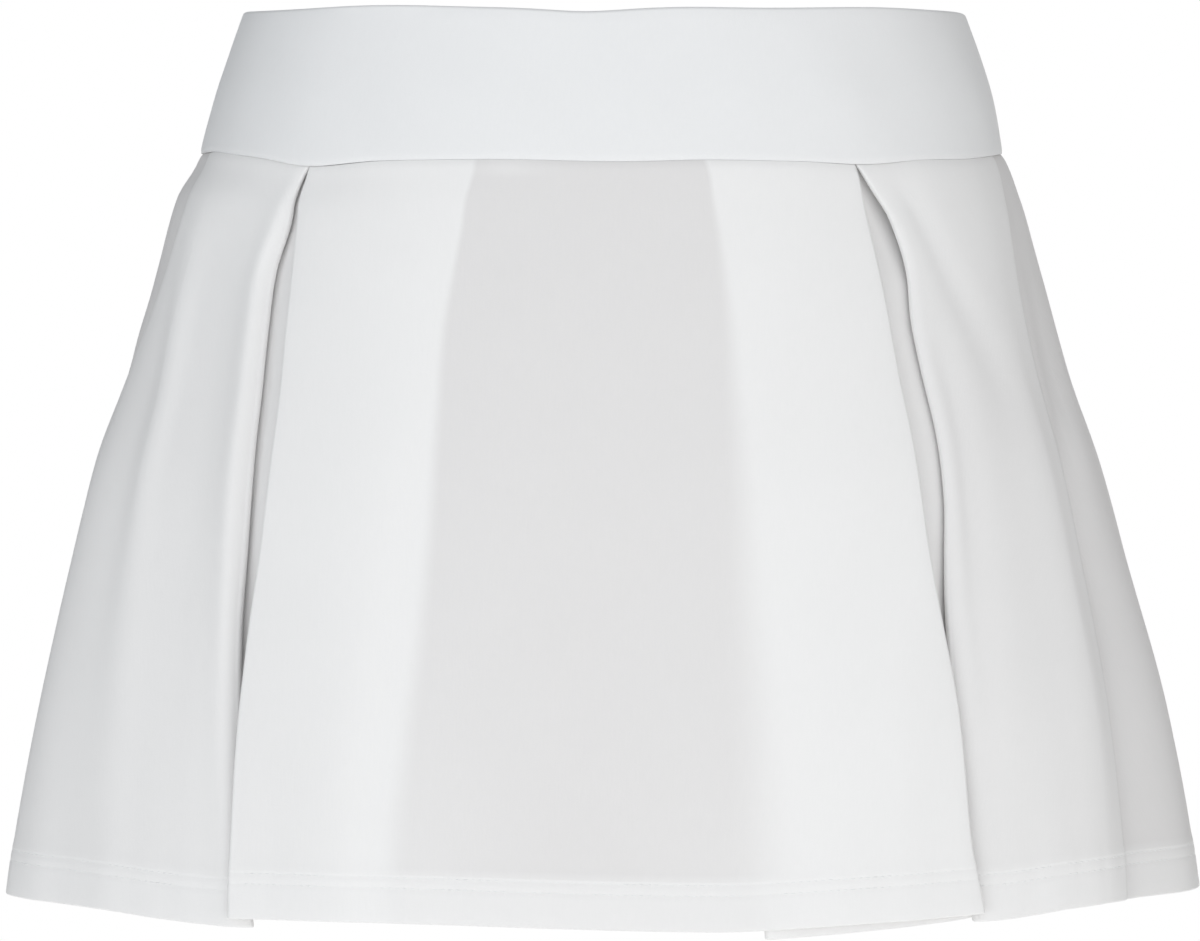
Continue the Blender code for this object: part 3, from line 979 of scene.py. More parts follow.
@dataclass
class HemStitching:
    """Two rows of thread that hold the turned-up hem, each stitch a short bar sunk in at both ends."""

    pitch: float = 2.7  # from one stitch to the next
    thread: float = 0.38
    stitch: float = 1.8  # length of one stitch
    rings: tuple[Ring, ...] = (
        Ring(-0.5, 0.3, -0.2),
        Ring(-0.36, 0.8, -0.06),
        Ring(0.0, 1.0, 0.0),
        Ring(0.36, 0.8, -0.06),
        Ring(0.5, 0.3, -0.2),
    )
    sides: int = 6
    lie: Ripple = Ripple((Wave(71.0, 0.07, 0.6), Wave(29.0, 0.05, 2.2), Wave(17.0, 0.03, 4.0)))
    slant_spread: float = 0.06
    length_spread: float = 0.08
    lift_spread: float = 0.03
    seed: int = 11

    def template(self) -> np.ndarray:
        """Lays out one stitch along X with its outside towards +Y.

        Returns:
            Its rings of points, from end to end.
        """
        turn = 2 * math.pi * np.arange(self.sides) / self.sides
        points = []
        for ring in self.rings:
            radius = self.thread / 2 * ring.width
            along = np.full(self.sides, ring.along * self.stitch)
            out = ring.out + radius * np.sin(turn)
            points.append(np.stack((along, out, radius * np.cos(turn)), axis=-1))
        return np.array(points)

    def build(self, half: SkirtHalf, thread: bpy.types.Material) -> bpy.types.Object:
        """Makes all stitches on the outside of one half of the hem.

        Args:
            half: The half of the skirt.
            thread: The thread's material.

        Returns:
            The stitches, as one mesh.
        """
        random = np.random.default_rng(self.seed)
        template, reach = self.template(), self.stitch / 2
        rings, sides = template.shape[:2]
        up = np.array((0.0, 0.0, 1.0))
        points, faces = [], []
        for line, ways_out in half.stitch_lines():
            length = np.concatenate(([0.0], np.cumsum(np.linalg.norm(np.diff(line, axis=0), axis=1))))
            for at in np.arange(self.pitch, length[-1] - self.pitch, self.pitch):
                start, centre, end, out = (
                    np.array([np.interp(place, length, values[:, i]) for i in range(3)])
                    for place, values in ((at - reach, line), (at, line), (at + reach, line), (at, ways_out))
                )
                along = (end - start) / np.linalg.norm(end - start)
                along = along + self.slant_spread * random.standard_normal() * up
                across = np.cross(along, out)
                size = 1 + self.length_spread * random.standard_normal()
                frame = np.array((along * size, out, across / np.linalg.norm(across)))
                lift = float(self.lie.height(at)) + self.lift_spread * random.standard_normal()
                faces.extend(tube_faces(rings, sides, len(points) * rings * sides))
                points.append(template.reshape(-1, 3) @ frame + centre + lift * out)
        stitches = make_mesh(f"hem_stitches_{half.half.value}", np.concatenate(points), faces)
        stitches.data.materials.append(thread)
        log.info("%s: %d stitches", stitches.name, len(points))
        return stitches


@dataclass
class BandHalf:
    """The front or the back of the waistband: a double cloth turned over at the top.

    The flat sizes are in metres, as the sheet is stated.
    """

    half: Half
    figure: Figure
    seam: WaistSeam
    flat_width: float = 0.39
    flat_height: float = 0.054
    wall: float = 2.3
    join: float = 90.0  # angle of the side joins
    gap: float = 0.12  # between the halves
    bottom_edge: float = 0.2  # radius of the lower edge
    seam_tuck: float = 0.35  # how far the outer face is drawn in at the seam
    seam_reach: float = 2.4
    turned_end: float = 0.9  # radius of the ends at the joins
    first_off: float = 0.05  # how far into the turned end the first station lies
    end_stations: tuple[float, ...] = (0.0, 0.12, 0.3, 0.6, 1.0, 1.6, 2.6)
    stations: int = 200
    middle_height: float = 30.0  # where lengths round the band are measured
    face_rows: int = 26
    face_crowding: float = 1.6
    edge_facets: int = 10
    corner_points: int = 5
    sharp_from: float = 60.0
    lifts: tuple[Pull, ...] = (
        Pull(-88.0, 14.0, -0.3),
        Pull(-37.0, 17.0, -1.3),
        Pull(-3.0, 7.5, 1.2),
        Pull(14.0, 8.0, -0.4),
        Pull(47.0, 16.0, -0.75),
        Pull(88.0, 9.0, 0.4),
        Pull(128.0, 14.0, -0.6),
        Pull(165.0, 10.0, 0.7),
        Pull(196.0, 14.0, -0.5),
        Pull(238.0, 12.0, 0.5),
    )
    waves: Ripple = Ripple((Wave(71.0, 0.16, 0.9), Wave(43.0, 0.09, 2.2), Wave(113.0, 0.2, 4.0)))
    wave_slant: float = 0.4
    wave_run: float = 60.0  # height over which the waves rise and run out

    def angles(self) -> np.ndarray:
        """Lays out the stations, closer together at the side joins.

        Returns:
            Their angles, as a column.
        """
        first, last = (-self.join, self.join) if self.half is Half.FRONT else (self.join, 360.0 - self.join)
        degree = float(self.figure.degree(first, self.middle_height))
        near = (np.array(self.end_stations) + self.gap / 2) / degree
        middle = np.linspace(first + near[-1], last - near[-1], self.stations)[1:-1]
        return np.concatenate((first + near, middle, (last - near)[::-1]))[:, None]

    def section(self, angle: np.ndarray) -> tuple[np.ndarray, np.ndarray]:
        """Works out the band's section: up its outer face, over the top edge and down inside.

        Args:
            angle: Angles of the stations.

        Returns:
            Depths and heights of the section's points, with a row for each station.
        """
        degree = float(self.figure.degree(self.join, self.middle_height))
        off = np.minimum(angle - angle[0], angle[-1] - angle) * degree + self.first_off
        pinch = rounded(off, self.turned_end)
        drop, top = self.seam.drop(angle), pulled_down(self.lifts, angle)
        radius, corner = self.wall / 2 - pinch, self.bottom_edge
        quarter = np.radians(np.linspace(0, 90, self.corner_points))
        face = mix(drop - corner, top + radius, steps(self.face_rows, ends=True) ** self.face_crowding)
        over = math.pi * steps(self.edge_facets + 1, ends=True)[1:-1]
        depth = (
            pinch + self.seam_tuck + corner * (1 - np.sin(quarter[::-1]))[:-1],
            pinch + self.seam_tuck * np.clip(1 - (drop - corner - face) / self.seam_reach, 0, 1) ** 2,
            self.wall / 2 - radius * np.cos(over),
            np.broadcast_to(self.wall - pinch, face.shape),
            self.wall - pinch - corner * (1 - np.cos(quarter))[1:],
        )
        below = (
            drop - corner * (1 - np.cos(quarter[::-1]))[:-1],
            face,
            top + radius - radius * np.sin(over),
            face[:, ::-1],
            drop - corner * (1 - np.sin(quarter))[1:],
        )
        return np.hstack(depth), np.hstack(below)

    def build(self, knit: bpy.types.Material) -> bpy.types.Object:
        """Makes the band's shell and dresses it.

        Args:
            knit: The band's material.

        Returns:
            The band.
        """
        depth, below = self.section(self.angles())
        angle = np.broadcast_to(self.angles(), below.shape)
        along = angle * self.figure.degree(0.0, self.middle_height)
        swell = np.sin(np.pi * np.clip(below / self.wave_run, 0, 1))
        relief = self.waves.height(along - self.wave_slant * below) * swell
        x, y = self.figure.plan(angle, below, depth - relief)
        loops = np.stack((x, y, self.seam.band_top - below), axis=-1)
        band = make_shell(f"waistband_{self.half.value}_cloth", loops)
        place = np.stack((along, below, 0 * below), axis=-1)
        dress_cloth(band, knit, place, np.ones(below.shape), self.sharp_from)
        return band


def make_mesh(name: str, points: np.ndarray, faces: list[tuple[int, ...]]) -> bpy.types.Object:
    """Makes a smooth-shaded object.

    Args:
        name: Its name.
        points: Its points, in millimetres.
        faces: Its faces, as the points' numbers.

    Returns:
        The object, in the scene.
    """
    mesh = bpy.data.meshes.new(name)
    mesh.from_pydata((points.reshape(-1, 3) * MM).tolist(), [], faces)
    mesh.shade_smooth()
    made = bpy.data.objects.new(name, mesh)
    bpy.context.scene.collection.objects.link(made)
    return made


def both_faces(outer: np.ndarray, inner: np.ndarray) -> np.ndarray:
    """Loops round a cloth's wall: along its outer face, then back along its inner one."""
    return np.concatenate((outer, inner[:, ::-1]), axis=1)


def make_shell(name: str, loops: np.ndarray) -> bpy.types.Object:
    """Makes a closed shell from loops round a cloth's wall.

    Args:
        name: Its name.
        loops: Points of the loops, one loop for each row.

    Returns:
        The shell.
    """
    number = np.arange(loops.shape[0] * loops.shape[1]).reshape(loops.shape[:2])
    ahead = np.roll(number, -1, axis=1)
    walls = np.stack((number[:-1], number[1:], ahead[1:], ahead[:-1]), axis=-1).reshape(-1, 4)
    n = np.arange(loops.shape[1] // 2 - 1)
    first, last = number[0], number[-1]
    top = np.stack((first[n], first[n + 1], first[-n - 2], first[-n - 1]), axis=-1)
    bottom = np.stack((last[n + 1], last[n], last[-n - 1], last[-n - 2]), axis=-1)
    return make_mesh(name, loops, np.concatenate((walls, top, bottom)).tolist())


def tube_faces(rings: int, sides: int, base: int) -> list[tuple[int, ...]]:
    """Faces of a closed tube of rings of points.

    Args:
        rings: How many rings it has.
        sides: How many points each ring has.
        base: Number of its first point.

    Returns:
        The faces, as the points' numbers.
    """
    faces: list[tuple[int, ...]] = []
    for ring in range(rings - 1):
        for side in range(sides):
            here, after = base + ring * sides + side, base + ring * sides + (side + 1) % sides
            faces.append((here, here + sides, after + sides, after))
    faces.append(tuple(base + side for side in range(sides)))
    faces.append(tuple(base + (rings - 1) * sides + side for side in reversed(range(sides))))
    return faces


def dress_cloth(
    cloth: bpy.types.Object,
    knit: bpy.types.Material,
    place: np.ndarray,
    backing_and_shade: np.ndarray,
    sharp_from: float,
) -> None:
    """Gives a cloth its knit, and stores what the knit reads at each point.

    Args:
        cloth: The shell.
        knit: Its material.
        place: Where each point lies on the cut cloth.
        backing_and_shade: 0 for a single cloth, to 1 where others lie behind it.
        sharp_from: Angle between faces from which an edge is sharp.
    """
    # The backing sets painted shade and light in the knit's white
    for name, kind, key, values in (
        ("cloth", "FLOAT_VECTOR", "vector", place),
        ("backing_and_shade", "FLOAT", "value", backing_and_shade),
    ):
        stored = cloth.data.attributes.new(name, kind, "POINT")
        stored.data.foreach_set(key, np.ascontiguousarray(values, dtype=np.float32).ravel())
    cloth.data.set_sharp_from_angle(angle=math.radians(sharp_from))
    cloth.data.materials.append(knit)


def linear(colour: str) -> tuple[float, float, float, float]:
    """Turns an sRGB colour into Blender's linear one.

    Args:
        colour: The colour, as hex.

    Returns:
        Its red, green and blue, with full alpha.
    """
    shares = [int(colour[i : i + 2], 16) / 255 for i in (1, 3, 5)]
    red, green, blue = (s / 12.92 if s <= 0.04045 else ((s + 0.055) / 1.055) ** 2.4 for s in shares)
    return (red, green, blue, 1.0)


def add_node(
    tree: bpy.types.NodeTree,
    kind: str,
    settings: dict[Any, Any] | None = None,
    links: dict[Any, Any] | None = None,
) -> bpy.types.Node:
    """Adds a node to a material or to the world.

    Args:
        tree: The node tree.
        kind: The node's type.
        settings: Its properties by name, and its unlinked inputs by the name or number of the socket.
        links: For an input's name or number, the output socket that feeds it.

    Returns:
        The node.
    """
    node = tree.nodes.new(kind)
    for name, value in (settings or {}).items():
        if isinstance(name, int) or name in node.inputs:
            node.inputs[name].default_value = value
        else:
            setattr(node, name, value)
    for name, source in (links or {}).items():
        tree.links.new(source, node.inputs[name])
    return node


def empty_tree(owner: bpy.types.Material | bpy.types.World) -> bpy.types.NodeTree:
    """Switches on a material's or the world's nodes and clears them.

    Args:
        owner: The material or the world.

    Returns:
        Its node tree.
    """
    owner.use_nodes = True
    owner.node_tree.nodes.clear()
    return owner.node_tree


@dataclass(frozen=True)
class InterlockKnit:
    """Polyester and elastane interlock jersey, knitted fine and heat-set.

    To the eye it is smooth and matt, with a faint upright grain. One cloth lets some light through, so it
    looks greyer than where folded layers back it; that grey is painted shade in the knit's white.
    """

    name: str = "interlock_jersey_knitted"
    # Painted shade: the white of one cloth, greyer than the backed one for the light it would let through
    single: str = "#E6E4E3"
    backed: str = "#F3F2F1"
    roughness: float = 0.85
    sheen: float = 0.02
    sheen_roughness: float = 0.5
    ior: float = 1.46
    wale: float = 0.9  # real wales are 0.5 mm apart, too fine to show
    course: float = 7.0  # length of a streak in a wale, several real courses
    pile: float = 0.7  # real fibres stand up every 0.1 mm, too fine to show
    cloud: float = 28.0
    noise_roughness: float = 0.55
    pile_share: float = 0.45
    grain_depth: float = 0.05
    grain_shade: float = 0.018
    cloud_shade: float = 0.010

    def build(self) -> bpy.types.Material:
        """Makes the material.

        Returns:
            The material: knit grain in its relief and shade, over white whose painted shade follows the
                backing.
        """
        material = bpy.data.materials.new(self.name)
        tree = empty_tree(material)
        place = add_node(tree, "ShaderNodeAttribute", {"attribute_name": "cloth"}).outputs["Vector"]
        backing_and_shade = add_node(tree, "ShaderNodeAttribute", {"attribute_name": "backing_and_shade"}).outputs["Fac"]
        noises = []
        for width, height, detail in (
            (self.wale, self.course, 1.0),
            (self.pile, self.pile, 1.0),
            (self.cloud, self.cloud, 2.0),
        ):
            scale = (1 / width, 1 / height, 1.0)
            fitted = add_node(tree, "ShaderNodeMapping", {"Scale": scale}, {"Vector": place})
            settings = {"Scale": 1.0, "Detail": detail, "Roughness": self.noise_roughness}
            noise = add_node(tree, "ShaderNodeTexNoise", settings, {"Vector": fitted.outputs[0]})
            noises.append(noise.outputs["Fac"])
        wales, pile, cloud = noises
        mixed = {"data_type": "FLOAT", 0: self.pile_share}
        relief = add_node(tree, "ShaderNodeMix", mixed, {2: wales, 3: pile}).outputs[0]
        grained = {"operation": "MULTIPLY_ADD", 1: 2 * self.grain_shade, 2: 1 - self.grain_shade}
        shade = add_node(tree, "ShaderNodeMath", grained, {0: relief}).outputs[0]
        clouded = {"operation": "MULTIPLY_ADD", 1: 2 * self.cloud_shade, 2: -self.cloud_shade}
        clouds = add_node(tree, "ShaderNodeMath", clouded, {0: cloud}).outputs[0]
        shade = add_node(tree, "ShaderNodeMath", {"operation": "ADD"}, {0: shade, 1: clouds}).outputs[0]
        # Painted shade and light: the backing mixes the white from the single cloth's to the backed one's
        whites = {"data_type": "RGBA", 6: linear(self.single), 7: linear(self.backed)}
        white = add_node(tree, "ShaderNodeMix", whites, {0: backing_and_shade}).outputs[2]
        shaded = add_node(tree, "ShaderNodeVectorMath", {"operation": "SCALE"}, {0: white, 3: shade})
        depth = {"Strength": 1.0, "Distance": self.grain_depth * MM}
        bump = add_node(tree, "ShaderNodeBump", depth, {"Height": relief})
        shader = add_node(
            tree,
            "ShaderNodeBsdfPrincipled",
            {
                "Roughness": self.roughness,
                "Sheen Weight": self.sheen,
                "Sheen Roughness": self.sheen_roughness,
                "IOR": self.ior,
            },
            {"Base Color": shaded.outputs[0], "Normal": bump.outputs[0]},
        )
        add_node(tree, "ShaderNodeOutputMaterial", links={"Surface": shader.outputs[0]})
        return material


@dataclass(frozen=True)
class TexturedThread:
    """Textured polyester thread, spun and dyed white: a little brighter and glossier than the knit."""

    name: str = "textured_polyester_thread_spun"
    colour: str = "#EFEFEF"
    roughness: float = 0.6
    sheen: float = 0.1
    ior: float = 1.46
    ply: float = 0.45  # length of one twist
    twist_depth: float = 0.04

    def build(self) -> bpy.types.Material:
        """Makes the material.

        Returns:
            The material, with the thread's twist in its relief.
        """
        material = bpy.data.materials.new(self.name)
        tree = empty_tree(material)
        place = add_node(tree, "ShaderNodeTexCoord").outputs["Object"]
        settings = {"Scale": 1 / (self.ply * MM), "Detail": 1.0}
        twist = add_node(tree, "ShaderNodeTexNoise", settings, {"Vector": place}).outputs["Fac"]
        depth = {"Strength": 1.0, "Distance": self.twist_depth * MM}
        bump = add_node(tree, "ShaderNodeBump", depth, {"Height": twist})
        shader = add_node(
            tree,
            "ShaderNodeBsdfPrincipled",
            {
                "Base Color": linear(self.colour),
                "Roughness": self.roughness,
                "Sheen Weight": self.sheen,
                "IOR": self.ior,
            },
            {"Normal": bump.outputs[0]},
        )
        add_node(tree, "ShaderNodeOutputMaterial", links={"Surface": shader.outputs[0]})
        return material


@dataclass(frozen=True)
class RolledPaper:
    """White paper, rolled smooth: matt, so it spreads the light, with a glow that keeps it near white."""

    name: str = "matt_white_paper_rolled"
    colour: str = "#EDEDEB"
    roughness: float = 0.9
    glow: float = 0.42

    def build(self) -> bpy.types.Material:
        """Makes the material.

        Returns:
            The material.
        """
        material = bpy.data.materials.new(self.name)
        tree = empty_tree(material)
        shader = add_node(
            tree,
            "ShaderNodeBsdfPrincipled",
            {
                "Base Color": linear(self.colour),
                "Roughness": self.roughness,
                "Emission Color": linear(WHITE),
                "Emission Strength": self.glow,
            },
        )
        add_node(tree, "ShaderNodeOutputMaterial", links={"Surface": shader.outputs[0]})
        return material


@dataclass(frozen=True)
class Softbox:
    """A soft square light. Its place and size are in metres."""

    name: str
    place: tuple[float, float, float]
    size: float
    power: float

    def build(self, aim: Vector) -> None:
        """Makes the light, which the camera doesn't see.

        Args:
            aim: The point that it is turned to.
        """
        light = bpy.data.lights.new(self.name, "AREA")
        light.shape, light.size, light.energy = "SQUARE", self.size, self.power
        made = bpy.data.objects.new(self.name, light)
        bpy.context.scene.collection.objects.link(made)
        made.location = self.place
        made.rotation_euler = (aim - made.location).to_track_quat("-Z", "Y").to_euler()
        made.visible_camera = False


@dataclass
class Studio:
    """A pale floor, white all round, soft lights and a camera straight in front of the skirt.

    Places are in metres, the lens and its sensor in millimetres.
    """

    aim: Vector = field(default_factory=lambda: Vector((0.0, 0.0, -0.1432)))
    distance: float = 3.0
    elevation: float = 2.0
    lens: float = 242.8
    sensor: float = 36.0
    floor_drop: float = 0.95
    floor_radius: float = 2.4
    floor_step: int = 5
    front_surround: float = 0.89
    back_surround: float = 0.1
    surround_turn: tuple[float, float] = (-0.24, -0.04)  # between which ways, front to back, it dims
    surround_minus_x: str = "#F5FAFF"
    surround_plus_x: str = WHITE
    lights: tuple[Softbox, ...] = (  # left and right as the camera sees them
        Softbox("softbox_left", (-1.15, -2.05, -0.8), 1.5, 7.2),
        Softbox("softbox_right", (1.2, -2.05, -0.85), 1.5, 6.2),
        Softbox("softbox_behind", (0.2, 3.2, 0.5), 2.4, 52.0),
    )

    def build(self) -> None:
        """Makes the floor, the world, the lights and the camera."""
        self.make_floor()
        self.make_world()
        for light in self.lights:
            light.build(self.aim)
        self.make_camera()
        bpy.context.scene.view_settings.view_transform = "Standard"

    def make_floor(self) -> None:
        """Makes a round paper floor, far enough below for the skirt to cast no hard shadow on it."""
        turn = np.radians(np.arange(0, 360, self.floor_step))
        rim = np.stack((np.cos(turn), np.sin(turn), 0 * turn), axis=-1) * self.floor_radius / MM
        rim[:, 2] = (self.aim.z - self.floor_drop) / MM
        floor = make_mesh("floor", rim, [tuple(range(len(rim)))])
        floor.data.materials.append(RolledPaper().build())

    def make_world(self) -> None:
        """Makes a white surround that lights the skirt less than it shows."""
        world = bpy.data.worlds.new("white_surround")
        tree = empty_tree(world)
        seen = add_node(tree, "ShaderNodeLightPath").outputs["Is Camera Ray"]
        way = add_node(tree, "ShaderNodeTexCoord").outputs["Generated"]
        parts = add_node(tree, "ShaderNodeSeparateXYZ", links={0: way})
        turn_start, turn_end = self.surround_turn
        dimmed = {1: turn_start, 2: turn_end, 3: self.front_surround, 4: self.back_surround}
        strength = add_node(tree, "ShaderNodeMapRange", dimmed, {0: parts.outputs["Y"]}).outputs[0]
        across = add_node(tree, "ShaderNodeMapRange", {1: -1.0, 2: 1.0}, {0: parts.outputs["X"]}).outputs[0]
        tints = {"data_type": "RGBA", 6: linear(self.surround_minus_x), 7: linear(self.surround_plus_x)}
        colour = add_node(tree, "ShaderNodeMix", tints, {0: across}).outputs[2]
        soft = add_node(tree, "ShaderNodeBackground", links={"Color": colour, "Strength": strength})
        white = add_node(tree, "ShaderNodeBackground", {"Color": linear(WHITE), "Strength": 1.0})
        shaders = {0: seen, 1: soft.outputs[0], 2: white.outputs[0]}
        both = add_node(tree, "ShaderNodeMixShader", links=shaders)
        add_node(tree, "ShaderNodeOutputWorld", links={"Surface": both.outputs[0]})
        bpy.context.scene.world = world

    def make_camera(self) -> None:
        """Makes the camera with its long lens."""
        lens = bpy.data.cameras.new("camera")
        lens.lens, lens.sensor_width, lens.sensor_fit = self.lens, self.sensor, "HORIZONTAL"
        camera = bpy.data.objects.new("camera", lens)
        bpy.context.scene.collection.objects.link(camera)
        turn = math.radians(self.elevation)
        camera.location = self.aim + Vector((0.0, -math.cos(turn), math.sin(turn))) * self.distance
        camera.rotation_euler = (self.aim - camera.location).to_track_quat("-Z", "Y").to_euler()
        bpy.context.scene.camera = camera


BAND_FIGURE = Figure((
    Girth(0.0, 133.2, 94.0, 92.0, 1.5),
    Girth(14.0, 138.2, 97.5, 95.5, 1.5),
    Girth(32.0, 144.0, 102.0, 101.0, 1.2),
    Girth(52.0, 148.4, 106.5, 107.0, 0.5),
    Girth(56.0, 149.0, 107.3, 108.2, 0.5),
))
SKIRT_FIGURE = Figure((
    Girth(0.0, 148.2, 107.6, 107.6, 0.8),
    Girth(4.0, 149.9, 108.6, 109.6, 0.9),
    Girth(16.0, 155.7, 111.8, 115.0, -0.5),
    Girth(43.0, 163.4, 118.6, 125.5, -0.7),
    Girth(78.0, 173.6, 126.2, 135.5, -1.0),
    Girth(114.0, 185.7, 133.2, 142.5, -0.8),
    Girth(149.0, 194.6, 138.6, 148.0, -0.2),
    Girth(203.0, 207.0, 146.6, 155.5, 0.9),
    Girth(256.0, 215.9, 153.2, 162.5, 1.3),
    Girth(272.0, 217.8, 155.2, 164.5, 1.3),
))
SIDE_SEAMS = (
    SeamLine(0.0, -76.0, 76.0, 0.8),
    SeamLine(20.0, -73.0, 72.5, 1.2),
    SeamLine(40.0, -73.5, 70.0, 1.9),
    SeamLine(60.0, -75.0, 68.4, 2.5),
    SeamLine(90.0, -82.0, 67.0, 3.3),
    SeamLine(120.0, -89.0, 65.6, 3.8),
    SeamLine(155.0, -93.0, 64.2, 3.0),
    SeamLine(195.0, -95.0, 62.6, 1.2),
    SeamLine(HEM, -97.0, 59.9, 0.8),
)
# Pleats on the wearer's right of the front and left of the back, whose panels lie soft and closed
SOFT_TUCKS = (
    Tuck(0.0, 0.0, 3.1, 3.1),
    Tuck(20.0, 0.0, 5.6, 3.3),
    Tuck(40.0, 0.3, 6.6, 3.3),
    Tuck(90.0, 1.2, 7.9, 3.7),
    Tuck(135.0, 2.1, 8.7, 4.6),
    Tuck(165.0, 3.0, 9.7, 8.6),
    Tuck(195.0, 3.8, 9.7, 9.3),
    Tuck(HEM, 4.6, 9.4, 9.4),
)
# The other two, whose side panels stand open near the waist
PROUD_TUCKS = (
    Tuck(0.0, 0.0, 3.1, 3.1),
    Tuck(8.0, 0.0, 5.0, 3.4),
    Tuck(20.0, 0.0, 6.6, 3.6),
    Tuck(32.0, 0.2, 6.4, 3.5),
    Tuck(48.0, 0.4, 5.2, 3.3),
    Tuck(90.0, 0.8, 5.3, 3.5),
    Tuck(125.0, 1.1, 6.0, 3.8),
    Tuck(155.0, 1.4, 7.4, 4.6),
    Tuck(195.0, 2.8, 9.1, 7.4),
    Tuck(230.0, 4.2, 10.0, 9.6),
    Tuck(HEM, 4.6, 9.9, 9.9),
)
SOFT_ROLLS = (
    Roll(0.0, 0.0, 4.0, 0.0),
    Roll(12.0, 1.2, 5.0, 0.2),
    Roll(40.0, 2.9, 6.5, 0.4),
    Roll(100.0, 3.1, 6.5, 0.4),
    Roll(170.0, 2.2, 6.5, 0.3),
    Roll(HEM, 1.0, 6.5, 0.2),
)
PROUD_ROLLS = (
    Roll(0.0, 0.0, 3.0, 0.0),
    Roll(12.0, 0.3, 3.0, 0.3),
    Roll(35.0, 0.7, 3.5, 0.5),
    Roll(90.0, 0.8, 4.5, 0.5),
    Roll(125.0, 1.3, 6.0, 0.4),
    Roll(155.0, 2.1, 8.5, 0.3),
    Roll(195.0, 2.2, 10.0, 0.3),
    Roll(HEM, 1.2, 9.0, 0.3),
)
# Left and right are the wearer's
FRONT_PLEAT_RIGHT = Pleat(
    lines=(
        PleatLine(0.0, -66.0, -45.9, -45.5, -17.8),
        PleatLine(6.0, -66.0, -46.5, -45.3, -17.9),
        PleatLine(20.0, -66.0, -45.6, -43.6, -17.9),
        PleatLine(40.0, -65.8, -46.8, -42.6, -18.5),
        PleatLine(60.0, -65.4, -46.0, -41.6, -19.0),
        PleatLine(90.0, -63.4, -44.3, -40.1, -18.7),
        PleatLine(120.0, -62.0, -42.7, -39.2, -18.3),
        PleatLine(140.0, -61.4, -42.0, -39.0, -18.4),
        PleatLine(162.0, -60.8, -41.4, -39.1, -18.7),
        PleatLine(195.0, -59.3, -39.9, -39.0, -19.4),
        PleatLine(240.0, -57.4, -37.4, -38.3, -20.2),
        PleatLine(HEM, -56.4, -35.9, -37.7, -20.4),
    ),
    tucks=SOFT_TUCKS,
    rolls=SOFT_ROLLS,
    hang=Hang(2.1, 5.3, 1.6, 1.4, 0.9, 2.0),
    # Painted shade on the side panel and the backed middle, painted light on the single middle at the hem
    side_backing_and_shade=0.68,
    print_at_hem=14.0,
    looseness_and_shade=0.3,
    painted_glow=0.35,
)
FRONT_PLEAT_LEFT = Pleat(
    lines=(
        PleatLine(0.0, 59.0, 38.4, 37.9, 14.4),
        PleatLine(6.0, 59.0, 39.4, 37.8, 14.8),
        PleatLine(20.0, 58.5, 42.3, 37.9, 15.5),
        PleatLine(40.0, 58.0, 43.7, 38.4, 16.1),
        PleatLine(60.0, 57.5, 42.9, 38.6, 16.4),
        PleatLine(90.0, 56.8, 43.1, 38.6, 16.2),
        PleatLine(120.0, 55.2, 42.1, 38.1, 15.9),
        PleatLine(140.0, 54.1, 40.7, 37.8, 15.6),
        PleatLine(162.0, 53.1, 39.4, 37.9, 15.4),
        PleatLine(195.0, 51.7, 38.35, 38.2, 15.4),
        PleatLine(240.0, 50.3, 38.0, 37.8, 15.2),
        PleatLine(HEM, 49.7, 38.45, 38.6, 15.5),
    ),
    tucks=PROUD_TUCKS,
    rolls=PROUD_ROLLS,
    hang=Hang(0.8, 3.7, 0.3, 2.4, 7.0, 0.4),
    # Painted shade on the side panel, painted light on the single middle at the hem
    side_backing_and_shade=0.55,
    print_at_hem=32.0,
    painted_glow=0.2,
)
BACK_HANG = Hang(0.0, 1.8, -0.3, -0.8, -0.6, -0.3)
BACK_PLEAT_LEFT = Pleat(
    lines=(
        PleatLine(0.0, 119.0, 139.6, 140.0, 164.0),
        PleatLine(20.0, 119.5, 138.4, 140.9, 164.0),
        PleatLine(60.0, 120.5, 137.4, 141.5, 163.5),
        PleatLine(120.0, 122.0, 138.8, 142.2, 163.0),
        PleatLine(195.0, 124.0, 141.6, 142.6, 162.0),
        PleatLine(HEM, 126.0, 144.2, 142.8, 161.5),
    ),
    tucks=SOFT_TUCKS,
    rolls=SOFT_ROLLS,
    hang=BACK_HANG,
    # Painted shade: the side panel's white is greyer all the way from the seam down
    side_backing_and_shade=0.1,
    seam_backing_and_light=0.1,
)
BACK_PLEAT_RIGHT = Pleat(
    lines=(
        PleatLine(0.0, 239.0, 220.2, 219.8, 196.0),
        PleatLine(20.0, 238.5, 221.8, 218.9, 196.2),
        PleatLine(60.0, 237.5, 222.2, 218.2, 196.5),
        PleatLine(120.0, 236.0, 220.8, 217.6, 197.0),
        PleatLine(195.0, 234.5, 218.4, 217.3, 197.6),
        PleatLine(HEM, 233.0, 216.4, 217.6, 198.0),
    ),
    tucks=PROUD_TUCKS,
    rolls=PROUD_ROLLS,
    hang=BACK_HANG,
    # Painted shade: the side panel's white is greyer all the way from the seam down
    side_backing_and_shade=0.1,
    seam_backing_and_light=0.1,
)
